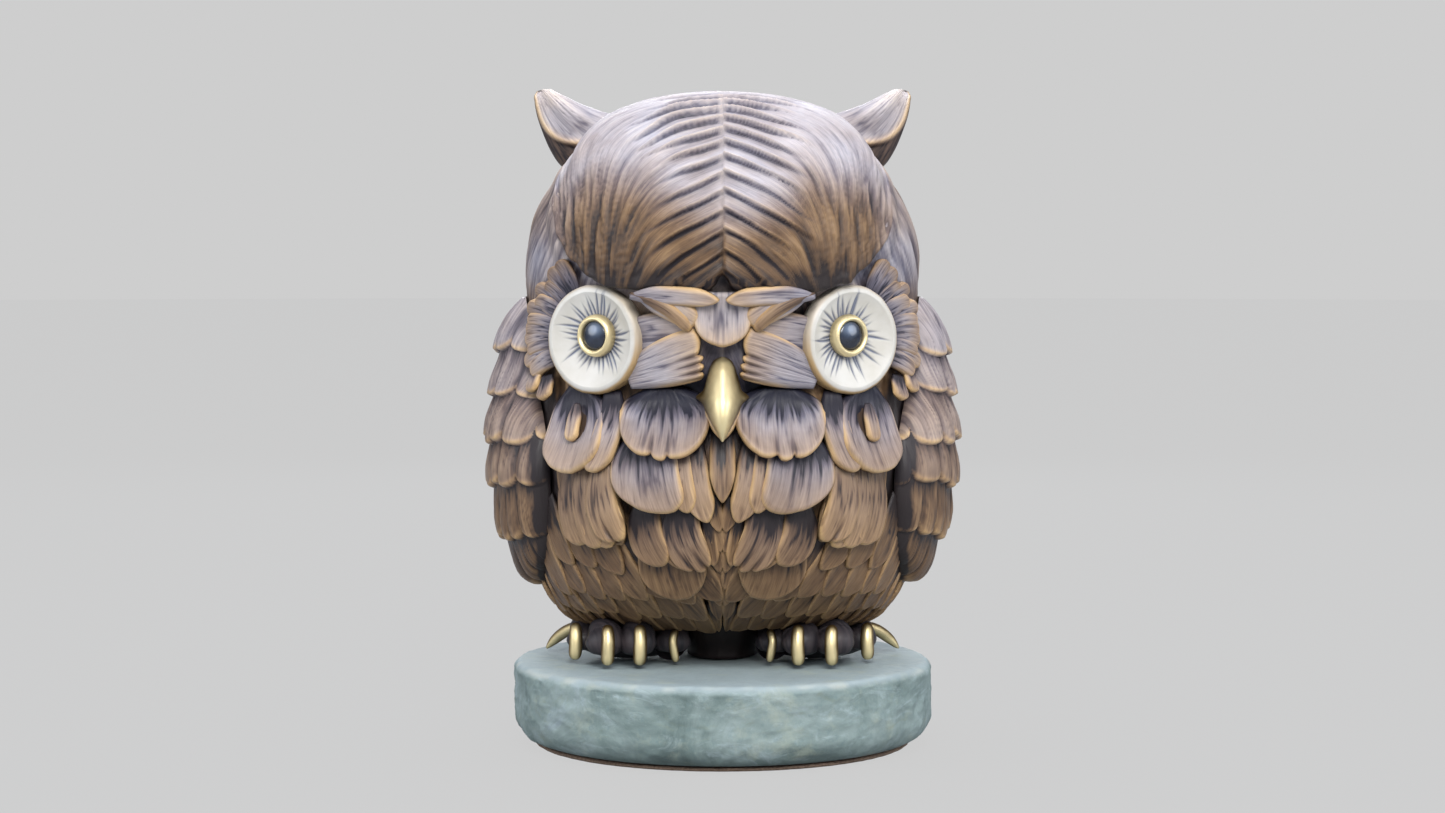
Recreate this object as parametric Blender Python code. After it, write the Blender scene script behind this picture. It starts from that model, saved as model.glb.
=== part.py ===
"""Carved wooden owl figurine on a round stone base, as the pieces that it is put together from.

The owl faces -Y and stands on the XY plane, with its origin in the middle of the base pad's underside.
Its own left is +X. Every size below is in millimetres, and MM turns it into Blender's metres.
"""

import math

import bmesh
import bpy
from mathutils import Matrix, Vector

MM = 0.001
GAP = 0.3  # glue line or clearance between two pieces that touch
SEAT = 0.5  # how far an applied piece's back lies from the curved wood behind it
CROWN_SEAT = 1.1  # and the crown's hollow, whose curves are tighter

# Base and feet
PAD_THICK = 1.0
BASE_RADIUS = 61.0
BASE_TOP = 24.4
BASE_BOTTOM_ROUND = 8.0
BASE_TOP_ROUND = 2.5
SCREW_X, SCREW_Y = 27.0, -2.0
SCREW_SHANK, SCREW_HEAD = 2.0, 4.5
SCREW_HEAD_TALL = 3.0
SCREW_TOP = 58.0
COUNTERBORE_DEEP = 5.0
GROUND = BASE_TOP + GAP  # the level that the feet stand on
TOE_TOP = 34.8

# Body and head
BODY_BOTTOM = 33.0
REST_MIDDLE = 8.0  # the low block under the belly that meets the stone: its y, half width and half depth
REST_SIZES = (8.2, 12.0)
HEAD_MIDDLE = 136.0  # height at which the head is widest
HEAD_RISE = 47.0  # from there to the top of the head under the crown
HEAD_SQUARENESS = 2.3
HEAD_HALF_WIDTH, HEAD_FRONT, HEAD_BACK = 57.9, 47.5, 55.0

# Eyes
EYE_X, EYE_Y, EYE_Z = 36.2, -39.4, 119.0
EYE_YAW = 34.0  # degrees that each eye looks outwards
DISC_RADIUS = 15.4
DISC_DEEP = 6.5
RING_RADIUS, RING_BORE = 5.9, 4.35
PUPIL_RADIUS = 4.0
RING_UP = 1.1  # the ring sits this far above the disc's middle
TENON_Z, TENON_RADIUS = 107.5, 2.6  # the beak's

DOWEL_RADIUS = 2.0

# Height, half width, depth in front of the axis and behind it, from the belly's flat underside to the head
BODY_SECTIONS = (
    (BODY_BOTTOM, 27.0, 3.0, 12.0),
    (35.5, 36.0, 11.5, 23.0),
    (38.5, 43.5, 20.5, 32.0),
    (42.5, 47.5, 30.0, 39.0),
    (48.0, 51.0, 38.5, 45.0),
    (56.0, 54.0, 45.5, 50.0),
    (66.0, 56.0, 50.0, 54.0),
    (82.0, 57.2, 52.0, 57.0),
    (93.0, 57.2, 49.5, 57.5),
    (102.0, 56.8, 44.8, 57.0),
    (118.0, 57.0, 44.3, 56.0),
    (HEAD_MIDDLE, HEAD_HALF_WIDTH, HEAD_FRONT, HEAD_BACK),
)

# Azimuth in degrees from the beak, and the height of the crown's lower edge there: brow, temple, ear and nape
CROWN_EDGE = (
    (0, 139.0), (5, 133.2), (20, 134.0), (32, 136.3), (39, 140.7),
    (46, 146.8), (53, 153.8), (61, 161.0), (72, 169.0),
    (82, 177.5), (105, 178.5),
    (122, 170.0), (150, 158.0), (180, 152.0),
)
CROWN_THICK_TOP, CROWN_THICK_BROW, CROWN_THICK_EDGE = 7.0, 9.0, 3.2

# Wing: height, azimuth of its front edge and of its back edge
WING_TOP, WING_TIP = 130.5, 47.0
WING_THICK = 11.4
WING_EDGES = (
    (WING_TIP, 80.0, 98.0),
    (56.0, 66.0, 128.0),
    (70.0, 59.5, 147.0),
    (84.0, 59.0, 150.0),
    (96.0, 63.0, 147.0),
    (105.0, 69.0, 141.0),
    (119.0, 73.5, 126.0),
    (WING_TOP, 80.0, 102.0),
)
WING_ROWS = 6
WING_STEP = 1.1  # each row's tips stand this far above the roots of the next

# Feather leaves
LEAF_ROOT_THICK = 1.6
LEAF_NOTCH = 0.09  # how deep the notches between a leaf's lobes are, beside its length
LEAF_CROWNING = 0.35  # how much thinner a leaf is at its edges


# ---------- numbers along a curve ----------

def between(table, at, column):
    """The table's column at a height or angle, along a smooth curve through its rows."""
    rows = list(table)
    at = min(max(at, rows[0][0]), rows[-1][0])
    i = max(k for k in range(len(rows) - 1) if rows[k][0] <= at or k == 0)
    a, b = rows[i], rows[i + 1]
    before, after = rows[max(i - 1, 0)], rows[min(i + 2, len(rows) - 1)]
    step = b[0] - a[0]
    t = (at - a[0]) / step
    slope_a = (b[column] - before[column]) / (b[0] - before[0])
    slope_b = (after[column] - a[column]) / (after[0] - a[0])
    return (
        (2 * t ** 3 - 3 * t ** 2 + 1) * a[column] + (t ** 3 - 2 * t ** 2 + t) * step * slope_a
        + (3 * t ** 2 - 2 * t ** 3) * b[column] + (t ** 3 - t ** 2) * step * slope_b
    )


def smooth(x):
    x = min(max(x, 0.0), 1.0)
    return x * x * (3 - 2 * x)


# ---------- the body's surface, which every applied piece follows ----------

def section(z):
    """Half width, front depth and back depth of the bare body at this height."""
    if z <= HEAD_MIDDLE:
        return tuple(between(BODY_SECTIONS, z, column) for column in (1, 2, 3))
    share = min((z - HEAD_MIDDLE) / HEAD_RISE, 0.99995)
    shrink = (1 - share ** HEAD_SQUARENESS) ** (1 / HEAD_SQUARENESS)
    return tuple(size * shrink for size in (HEAD_HALF_WIDTH, HEAD_FRONT, HEAD_BACK))


def on_body(azimuth, z, proud=0.0):
    """The point at this azimuth (degrees from the beak, +X positive) and height, moved out by proud."""
    a = math.radians(azimuth)

    def bare(angle, height):
        width, front, back = section(height)
        depth = front if math.cos(angle) > 0 else back
        return Vector((width * math.sin(angle), -depth * math.cos(angle), height))

    here = bare(a, z)
    if not proud:
        return here
    small = 0.01
    around = bare(a + small, z) - bare(a - small, z)
    up = bare(a, z + small) - bare(a, z - small)
    return here + around.cross(up).normalized() * proud


def azimuth_of(x, z):
    """The azimuth at which the body's front has this x."""
    return math.degrees(math.asin(min(max(x / section(z)[0], -0.995), 0.995)))


# ---------- meshes ----------

def finish(name, colour, roughness, metallic=0.0):
    material = bpy.data.materials.new(name)
    material.use_nodes = True
    shader = material.node_tree.nodes["Principled BSDF"]
    shader.inputs["Base Color"].default_value = (*colour, 1.0)
    shader.inputs["Roughness"].default_value = roughness
    shader.inputs["Metallic"].default_value = metallic
    return material


def add_object(name, bm, material, matrix=None):
    """A new object from a mesh drawn in millimetres, with its faces pointing out."""
    bmesh.ops.recalc_face_normals(bm, faces=bm.faces)
    bmesh.ops.scale(bm, vec=(MM, MM, MM), verts=bm.verts)
    mesh = bpy.data.meshes.new(name)
    bm.to_mesh(mesh)
    bm.free()
    mesh.shade_smooth()
    mesh.set_sharp_from_angle(angle=math.radians(40))
    obj = bpy.data.objects.new(name, mesh)
    bpy.context.scene.collection.objects.link(obj)
    if material:
        mesh.materials.append(material)
    if matrix is not None:
        location, rotation, _ = matrix.decompose()
        obj.matrix_world = Matrix.LocRotScale(location * MM, rotation, None)
    return obj


def skin(rings):
    """A closed bmesh over a stack of rings. A one-point end ring is a tip, and a longer one gets a cap."""
    bm = bmesh.new()
    loops = [[bm.verts.new(p) for p in ring] for ring in rings]
    for a, b in zip(loops, loops[1:]):
        n = max(len(a), len(b))
        for i in range(n):
            corners = [a[i % len(a)], a[(i + 1) % len(a)], b[(i + 1) % len(b)], b[i % len(b)]]
            bm.faces.new(list(dict.fromkeys(corners)))
    for end in (loops[0], loops[-1]):
        if len(end) > 2:
            bm.faces.new(end)
    return bm


def plate(top, bottom):
    """A closed bmesh between two grids of points of the same size, walled along their edges."""
    bm = bmesh.new()
    grids = [[[bm.verts.new(p) for p in row] for row in grid] for grid in (top, bottom)]
    rows, columns = len(top), len(top[0])
    for grid in grids:
        for i in range(rows - 1):
            for j in range(columns - 1):
                bm.faces.new((grid[i][j], grid[i][j + 1], grid[i + 1][j + 1], grid[i + 1][j]))
    border = [(0, j) for j in range(columns)]
    border += [(i, columns - 1) for i in range(1, rows)]
    border += [(rows - 1, j) for j in range(columns - 2, -1, -1)]
    border += [(i, 0) for i in range(rows - 2, 0, -1)]
    for (i, j), (k, m) in zip(border, border[1:] + border[:1]):
        bm.faces.new((grids[0][i][j], grids[0][k][m], grids[1][k][m], grids[1][i][j]))
    return bm


def applied(name, place, height, columns, rows, material):
    """A piece laid on the body, with u from -1 to 1 across it and v from 0 at its root to 1 at its tip.

    place(u, v) is the point's (azimuth, z), and height(u, v) how far its back and its face lie off the body.
    """
    grid = [[(-1 + 2 * j / columns, i / rows) for j in range(columns + 1)] for i in range(rows + 1)]
    sheets = [[[on_body(*place(u, v), height(u, v)[k]) for u, v in row] for row in grid] for k in (1, 0)]
    return add_object(name, plate(*sheets), material)


def turned(profile, steps, name, material, matrix=None):
    """A solid turned about Z from (radius, height) points, ending on the axis at both ends."""
    rings = []
    for radius, height in profile:
        if radius < 1e-6:
            rings.append([Vector((0, 0, height))])
        else:
            angles = (2 * math.pi * k / steps for k in range(steps))
            rings.append([Vector((radius * math.cos(a), radius * math.sin(a), height)) for a in angles])
    return add_object(name, skin(rings), material, matrix)


def rod(name, start, end, radius, material, steps=16):
    """A plain cylinder between two points."""
    start, end = Vector(start), Vector(end)
    turn = (end - start).to_track_quat("Z", "Y").to_matrix().to_4x4()
    profile = ((0, 0), (radius, 0), (radius, (end - start).length), (0, (end - start).length))
    return turned(profile, steps, name, material, Matrix.Translation(start) @ turn)


def horn(name, spine, sizes, material, steps=8, tip=True):
    """A round or oval solid swept along a smooth curve through spine, with its (across, thick) at each point."""
    samples = 2 * (len(spine) - 1)
    path, girth = [], []
    for k in range(samples + 1):
        at = k / 2
        path.append(Vector([between([(i, p[c]) for i, p in enumerate(spine)], at, 1) for c in range(3)]))
        girth.append([between([(i, s[c]) for i, s in enumerate(sizes)], at, 1) for c in (0, 1)])
    rings = []
    for k, (point, (across, thick)) in enumerate(zip(path, girth)):
        along = (path[min(k + 1, samples)] - path[max(k - 1, 0)]).normalized()
        side = Vector((1, 0, 0)) if abs(along.x) < 0.9 else Vector((0, 1, 0))
        side = (side - along * side.dot(along)).normalized()
        other = along.cross(side)
        angles = (2 * math.pi * i / steps for i in range(steps))
        rings.append([point + side * across * math.cos(a) + other * thick * math.sin(a) for a in angles])
    if tip:
        rings[-1] = [path[-1]]
    return add_object(name, skin(rings), material)


# ---------- cuts and joins ----------

def combine(obj, other, operation):
    """Cuts obj with other, or joins other to it, and keeps other only as a wire helper."""
    modifier = obj.modifiers.new(f"{operation.lower()}_{other.name}", "BOOLEAN")
    modifier.operation = operation
    modifier.object = other
    modifier.solver = "EXACT"
    other.hide_render = True
    other.display_type = "WIRE"


def helper(obj, name, grown=0.0):
    """A copy of obj that only cuts, grown on every side."""
    copy = obj.copy()
    copy.data = obj.data.copy()
    copy.name = name
    bpy.context.scene.collection.objects.link(copy)
    copy.hide_render = True
    copy.display_type = "WIRE"
    if grown:
        swell = copy.modifiers.new("grown", "DISPLACE")
        swell.strength = grown * MM
        swell.mid_level = 0.0
    return copy


# ---------- wood ----------

def make_body(material):
    """The carved core: belly and head in one block, which stands on the stone between the feet."""
    heights = [BODY_BOTTOM, 35.5, 38.5, 42.5, 48, 56, 65, 74, 83, 91, 98, 106, 115, 125, HEAD_MIDDLE]
    lifts = (13, 26, 38, 50, 61, 71, 79, 85)
    heights += [HEAD_MIDDLE + HEAD_RISE * math.sin(math.radians(lift)) for lift in lifts]
    steps = 36
    rings = [[on_body(360 * k / steps, z) for k in range(steps)] for z in heights]
    rings.append([Vector((0, 0, HEAD_MIDDLE + HEAD_RISE))])
    body = add_object("body", skin(rings), material)
    profile = ((0, GROUND), (1, GROUND), (1, BODY_BOTTOM + 5), (0, BODY_BOTTOM + 5))
    place = Matrix.Translation((0, REST_MIDDLE, 0)) @ Matrix.Diagonal((*REST_SIZES, 1, 1))
    combine(body, turned(profile, 20, "rest", material, place), "UNION")
    return body


def crown_thickness(azimuth, z):
    """Thick over the brow and on top, thinning to the edge at the sides and the nape."""
    a = abs(azimuth)
    rise = smooth((z - between(CROWN_EDGE, a, 1)) / 14)
    lip = CROWN_THICK_EDGE + (CROWN_THICK_BROW - CROWN_THICK_EDGE) * smooth((58 - a) / 40)
    top = CROWN_THICK_TOP
    full = lip + (top - lip) * smooth((z - 152) / 26)
    edge = lip * (0.8 if a < 50 else 0.9)
    return edge + (full - edge) * rise


def make_crown(material):
    """The cap of crown feathers, whose brow overhangs the face."""
    columns, rows = 36, 7
    outer, inner = [], []
    for i in range(rows + 1):
        for ring, proud_of in ((outer, crown_thickness), (inner, lambda a, z: CROWN_SEAT)):
            points = []
            for k in range(columns):
                azimuth = 360 * k / columns
                azimuth = azimuth - 360 if azimuth > 180 else azimuth
                low = math.asin((between(CROWN_EDGE, abs(azimuth), 1) - HEAD_MIDDLE) / HEAD_RISE)
                lift = low + (math.radians(88) - low) * i / rows
                z = HEAD_MIDDLE + HEAD_RISE * math.sin(lift)
                points.append(on_body(azimuth, z, proud_of(azimuth, z)))
            ring.append(points)
    top = HEAD_MIDDLE + HEAD_RISE
    poles = [[Vector((0, 0, top + proud))] for proud in (CROWN_SEAT, CROWN_THICK_TOP)]
    return add_object("crown", skin([poles[0], *reversed(inner), *outer, poles[1]]), material)


def leaf(name, root, tip, half_width, material, *, root_share=0.8, rounding=0.45, lobes=1,
         lift=2.5, thick=3.0, columns=8, rows=5):
    """A carved feather, applied with its root against the body and its tip lifted off it.

    root and tip are (x, z) as seen from the front. The tip's edge is rounded, and cut into lobes.
    root_share is how wide the root is beside the tip.
    """
    notch = LEAF_NOTCH if lobes > 1 else 0.0
    root, tip = Vector(root), Vector(tip)
    length = (tip - root).length
    along = (tip - root) / length
    across = Vector((-along.y, along.x))

    def place(u, v):
        scallop = abs(math.sin(lobes * math.pi * (u + 1) / 2)) ** 0.5
        reach = 1 - rounding * (1 - math.sqrt(max(1 - u * u, 0))) - notch * (1 - scallop) * v ** 3
        spread = root_share + (1 - root_share) * math.sin(math.pi / 2 * min(v / 0.7, 1))
        point = root + along * length * v * reach + across * half_width * u * spread
        return azimuth_of(point.x, point.y), point.y

    def height(u, v):
        back = SEAT + lift * v * v
        body = LEAF_ROOT_THICK + (thick - LEAF_ROOT_THICK) * v
        edge = 1 - LEAF_CROWNING * max(abs(u), abs(2 * v - 1) if v > 0.5 else 0) ** 4
        return back, back + body * edge

    return applied(name, place, height, columns, rows, material)


# Each leaf's root, tip, half width, and what differs from leaf()'s own values
LEAVES = {
    "brow": ((20.4, 129.9), (6.6, 121.6), 4.3, dict(root_share=0.35, rounding=0.8, lift=1.6)),
    "cheek_fan": ((20.0, 113.8), (6.8, 110.0), 6.4, dict(rounding=0.25, lobes=4, lift=2.2, thick=4.2)),
    "ruff_inner": ((17.2, 102.6), (17.0, 86.4), 10.8, dict(lobes=2, lift=4.4, thick=4.0)),
    "ruff_outer": ((37.4, 101.0), (37.4, 82.4), 8.6, dict(lobes=2, lift=4.0, thick=3.8)),
    "breast_inner": ((17.4, 88.2), (14.0, 71.4), 10.8, dict(lobes=4, lift=3.6, thick=3.4)),
    "breast_outer": ((37.2, 83.2), (34.6, 63.6), 8.2, dict(lobes=4, lift=3.2, thick=3.2)),
    "belly_inner": ((14.2, 73.0), (12.6, 58.0), 10.4, dict(lobes=3, lift=3.0, thick=2.8)),
    "belly_hem": ((13.4, 59.6), (12.0, 48.8), 9.0, dict(rounding=0.6, lift=2.0, thick=2.4)),
}


def make_leaves(material):
    for side, hand in ((1, "left"), (-1, "right")):
        for name, (root, tip, half_width, shape) in LEAVES.items():
            mirrored = [(side * x, z) for x, z in (root, tip)]
            leaf(f"{name}_{hand}", *mirrored, half_width, material, **shape)
    leaf("face_shield", (0, 132.4), (0, 118.4), 5.6, material, rounding=0.75, lift=1.8, thick=3.6)
    leaf("chin_feather", (0, 94.6), (0, 76.0), 3.4, material, root_share=1, rounding=0.9, lift=1.6, thick=2.2)


def make_tail(material):
    """The short fan of tail feathers that hangs down the back."""
    def place(u, v):
        return 180 + u * (15 + 3 * v), 66 - (27 - 4 * u * u) * v

    def height(u, v):
        back = SEAT + 1.5 * v
        return back, back + (2 + 5.5 * v) * (1 - 0.3 * u ** 4)

    return applied("tail", place, height, 8, 5, material)


def make_cheek_bands(material):
    """The ruffled band of short feathers round the outer side of each eye."""
    line = ((0, 49.0, 147.0), (1, 61.5, 136.0), (2, 66.5, 122.0), (3, 65.0, 109.0), (4, 58.5, 102.6))
    for side, hand in ((1, "left"), (-1, "right")):
        def place(u, v, side=side):
            azimuth, z = between(line, 4 * v, 1), between(line, 4 * v, 2)
            taper = 0.55 + 0.45 * math.sin(math.pi * v)
            return side * (azimuth + u * 3.1 * taper), z + u * 2.0 * (1 - 2 * v) * taper

        def height(u, v):
            return SEAT, SEAT + 2.6 * (1 - 0.5 * u ** 4)

        applied(f"cheek_band_{hand}", place, height, 4, 14, material)


def make_wings(material):
    """Each wing is one thick carved plate, with its feather rows stepped like shingles."""
    wings = []
    for side, hand in ((1, "left"), (-1, "right")):
        def place(u, v, side=side):
            z = WING_TOP + (WING_TIP - WING_TOP) * v
            front, back = between(WING_EDGES, z, 1), between(WING_EDGES, z, 2)
            return side * (front + (back - front) * (u + 1) / 2), z

        def height(u, v):
            body = 0.8 + WING_THICK * (4 * v * (1 - v) * 0.999 + 0.001) ** 0.7
            step = (v * WING_ROWS) % 1.0
            body += WING_STEP * min(step / 0.75, (1 - step) / 0.25) * math.sin(math.pi * v)
            return SEAT, SEAT + body * (1 - 0.45 * abs(u) ** 4)

        wings.append(applied(f"wing_{hand}", place, height, 8, 18, material))
    return wings


# Ear tuft: its foot's azimuth and height with their half sizes, then the middle, half width and half depth of
# each section up to the tip
TUFT_FOOT, TUFT_FOOT_SIZE = (93.0, 171.3), (12.0, 6.0)
TUFT_SECTIONS = (
    ((44.0, 3.5, 176.8), 8.8, 7.8),
    ((48.2, 2.5, 181.6), 6.8, 6.0),
    ((51.2, 1.5, 186.0), 4.2, 4.0),
    ((53.0, 1.0, 188.9), 1.9, 2.0),
)
TUFT_TIP = (53.6, 0.8, 190.3)
TUFT_LEAN = 38.0  # degrees from upright, outwards


def make_ear_tufts(material):
    """Each tuft is a broad upswept plume whose foot follows the side of the head."""
    lean = math.radians(TUFT_LEAN)
    inwards, backwards = Vector((-math.cos(lean), 0, math.sin(lean))), Vector((0, 1, 0))
    turns = [2 * math.pi * k / 12 for k in range(12)]
    tufts = []
    for side, hand in ((1, "left"), (-1, "right")):
        rings = []
        for reach in (0.02, 0.55, 1.0):
            wide, tall = (size * reach for size in TUFT_FOOT_SIZE)
            foot = [(TUFT_FOOT[0] + wide * math.cos(t), TUFT_FOOT[1] + tall * math.sin(t)) for t in turns]
            rings.append([on_body(azimuth, z, SEAT) for azimuth, z in foot])
        for middle, wide, deep in TUFT_SECTIONS:
            offsets = [inwards * wide * math.sin(t) + backwards * deep * math.cos(t) for t in turns]
            rings.append([Vector(middle) + offset for offset in offsets])
        rings.append([Vector(TUFT_TIP)])
        rings = [[Vector((side * p.x, p.y, p.z)) for p in ring] for ring in rings]
        tufts.append(add_object(f"ear_tuft_{hand}", skin(rings), material))
    return tufts


# ---------- eyes and beak ----------

def eye_frame(side, out=0.0, up=0.0):
    """The matrix of one eye: its Z looks outwards along the eye's axis."""
    axis = Vector((side * math.sin(math.radians(EYE_YAW)), -math.cos(math.radians(EYE_YAW)), 0))
    centre = Vector((side * EYE_X, EYE_Y, EYE_Z + up)) + axis * out
    return Matrix.Translation(centre) @ axis.to_track_quat("Z", "Y").to_matrix().to_4x4()


def make_eyes(disc_paint, ring_metal, glass, body):
    """Each eye is a dished disc set in the head, with a brass ring and a domed pupil set in the disc."""
    for side, hand in ((1, "left"), (-1, "right")):
        rim, back = DISC_RADIUS, -DISC_DEEP
        dish = (
            (0, back), (rim * 0.93, back), (rim, back + 1.2),
            (rim, -0.6), (rim * 0.97, 0.5), (rim * 0.9, 0.6),
            (rim * 0.66, -0.9), (RING_RADIUS * 1.3, -2.1), (0, -2.4),
        )
        disc = turned(dish, 32, f"eye_disc_{hand}", disc_paint, eye_frame(side))
        ring = (
            (RING_BORE, -3.6), (RING_RADIUS - 0.4, -3.6), (RING_RADIUS, -1.4), (RING_RADIUS - 0.1, -0.2),
            (RING_RADIUS - 0.6, 0.5), (RING_BORE + 0.3, 0.6), (RING_BORE, 0.1),
        )
        turned_ring(ring, 20, f"eye_ring_{hand}", ring_metal, eye_frame(side, up=RING_UP))
        stem = PUPIL_RADIUS * 0.8
        dome = (
            (0, -5.2), (stem, -5.2), (stem, -3.9), (PUPIL_RADIUS, -3.6),
            (PUPIL_RADIUS, -0.9), (PUPIL_RADIUS * 0.88, 0.3), (PUPIL_RADIUS * 0.55, 1.1), (0, 1.5),
        )
        turned(dome, 20, f"eye_pupil_{hand}", glass, eye_frame(side, up=RING_UP))
        socket = (
            (0, -6.0), (stem + GAP, -6.0), (stem + GAP, -3.9),
            (RING_RADIUS + GAP, -3.9), (RING_RADIUS + GAP, 2), (0, 2),
        )
        cutter = turned(socket, 20, f"eye_socket_{hand}", None, eye_frame(side, up=RING_UP))
        combine(disc, cutter, "DIFFERENCE")
        bore = ((0, back - 0.4), (rim + 0.35, back - 0.4), (rim + 0.35, 8), (0, 8))
        combine(body, turned(bore, 32, f"disc_seat_{hand}", None, eye_frame(side)), "DIFFERENCE")


def turned_ring(profile, steps, name, material, matrix):
    """A ring turned about Z from a closed (radius, height) outline."""
    bm = bmesh.new()
    loops = []
    for k in range(steps):
        a = 2 * math.pi * k / steps
        loops.append([bm.verts.new((r * math.cos(a), r * math.sin(a), h)) for r, h in profile])
    n = len(profile)
    for k in range(steps):
        a, b = loops[k], loops[(k + 1) % steps]
        for i in range(n):
            bm.faces.new((a[i], a[(i + 1) % n], b[(i + 1) % n], b[i]))
    return add_object(name, bm, material, matrix)


def make_beak(material, body):
    """A hooked beak with a rounded ridge, held by a round tenon in the face."""
    # height, half width, how far forward the ridge and the back lie
    stations = (
        (114.6, 1.6, 50.6, 48.6),
        (113.2, 3.2, 53.6, 47.8),
        (109.8, 4.2, 57.2, 47.6),
        (105.8, 5.4, 60.0, 47.8),
        (102.4, 6.6, 61.8, 48.6),
        (99.6, 5.2, 62.6, 51.0),
        (96.0, 3.1, 62.6, 54.0),
        (93.4, 1.5, 61.6, 56.6),
    )
    rings = []
    for z, half, ridge, back in stations:
        depth = ridge - back
        outline = ((0, 0), (0.62, 0.02), (1, 0.2), (0.8, 0.45), (0.5, 0.72), (0.28, 0.92), (0, 1))
        right = [Vector((half * x, -(back + depth * y), z)) for x, y in outline]
        left = [Vector((-p.x, p.y, p.z)) for p in right[-2:0:-1]]
        rings.append(right + left)
    rings.append([Vector((0, -59.8, 91.8))])
    beak = add_object("beak", skin(rings), material)
    tenon = rod("beak_tenon", (0, -52.0, TENON_Z), (0, -36.0, TENON_Z), TENON_RADIUS, None)
    combine(beak, tenon, "UNION")
    mortise = rod("beak_mortise", (0, -60.0, TENON_Z), (0, -35.0, TENON_Z), TENON_RADIUS + GAP, None)
    combine(body, mortise, "DIFFERENCE")


# ---------- base and feet ----------

def quarter(radius, middle, start, end, steps=4):
    """Points (radius, height) round a quarter circle."""
    angles = [math.radians(start + (end - start) * k / steps) for k in range(steps + 1)]
    return [(middle[0] + radius * math.cos(a), middle[1] + radius * math.sin(a)) for a in angles]


def make_base(stone, felt, steel):
    pad_radius = BASE_RADIUS - BASE_BOTTOM_ROUND + 2
    pad = ((0, 0), (pad_radius, 0), (pad_radius, PAD_THICK), (0, PAD_THICK))
    turned(pad, 48, "base_pad", felt)
    low = PAD_THICK + GAP
    side = quarter(BASE_BOTTOM_ROUND, (BASE_RADIUS - BASE_BOTTOM_ROUND, low + BASE_BOTTOM_ROUND), -90, 0)
    side += quarter(BASE_TOP_ROUND, (BASE_RADIUS - BASE_TOP_ROUND, BASE_TOP - BASE_TOP_ROUND), 0, 90, 2)
    base = turned([(0, low), *side, (0, BASE_TOP)], 48, "stone_base", stone)
    for side, hand in ((1, "left"), (-1, "right")):
        place = Matrix.Translation((side * SCREW_X, SCREW_Y, 0))
        seat = low + COUNTERBORE_DEEP
        hole = (
            (0, -1), (SCREW_HEAD + GAP, -1), (SCREW_HEAD + GAP, seat),
            (SCREW_SHANK + GAP, seat), (SCREW_SHANK + GAP, SCREW_TOP + 1), (0, SCREW_TOP + 1),
        )
        combine(base, turned(hole, 20, f"screw_hole_{hand}", None, place), "DIFFERENCE")
        head = seat - GAP
        screw = (
            (0, head - SCREW_HEAD_TALL), (SCREW_HEAD - 1, head - SCREW_HEAD_TALL), (SCREW_HEAD, head - 1.4),
            (SCREW_HEAD, head), (SCREW_SHANK, head), (SCREW_SHANK, SCREW_TOP - 3), (0, SCREW_TOP),
        )
        turned(screw, 20, f"base_screw_{hand}", steel, place)


# Each foot's front toes: the x and y of the claw's tip, and how tall the toe is beside TOE_TOP
TOES = {
    "left": ((12.9, -15.0, 0.86), (20.6, -21.4, 1.0), (30.2, -21.6, 1.0), (41.0, -9.6, 0.92)),
    "right": ((12.8, -15.0, 0.86), (22.6, -21.4, 1.0), (31.8, -21.6, 1.0), (41.6, -9.6, 0.92)),
}
# The outer toe's claw slopes down beside the foot
SPUR = ((41.5, 5.0, 33.6), (46.0, 8.0, 30.6), (50.6, 10.4, 26.2), (51.6, 10.8, 25.0))
SPUR_SIZES = ((2.0, 2.0), (1.9, 1.9), (1.4, 1.2), (0.6, 0.25))
CLAW_SIZES = ((1.2, 1.0), (1.9, 1.4), (1.8, 1.3), (0.9, 0.8))


def ellipsoid(name, centre, sizes, turn=0.0, material=None):
    """An ellipsoid with these half sizes, turned about Z by turn degrees."""
    bm = bmesh.new()
    bmesh.ops.create_uvsphere(bm, u_segments=10, v_segments=6, radius=1.0)
    bmesh.ops.scale(bm, vec=sizes, verts=bm.verts)
    bmesh.ops.rotate(bm, cent=(0, 0, 0), matrix=Matrix.Rotation(math.radians(turn), 3, "Z"), verts=bm.verts)
    bmesh.ops.translate(bm, vec=centre, verts=bm.verts)
    return add_object(name, bm, material)


def make_toe(foot, side, hand, number, claw_metal):
    """Joins one knuckled toe to the foot, and returns the claw that hooks down in front of it."""
    x, y, tall = TOES[hand][number - 1]
    top = GROUND + (TOE_TOP - BASE_TOP) * tall
    sizes = (3.7, 8.6, (top - GROUND) / 2 + 0.4)
    splay = side * (x - SCREW_X) * 0.9
    toe = ellipsoid(f"toe_{hand}_{number}", (side * x, y + 5.2, (top + GROUND) / 2 - 0.2), sizes, splay)
    combine(foot, toe, "UNION")
    hook = ((y + 2.6, top + 0.5), (y - 1.8, top - 2.2), (y - 2.3, GROUND + 4.4), (y - 0.6, GROUND + 0.1))
    spine = [(side * x, depth, z) for depth, z in hook]
    return horn(f"claw_{hand}_{number}", spine, CLAW_SIZES, claw_metal, tip=False)


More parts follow.
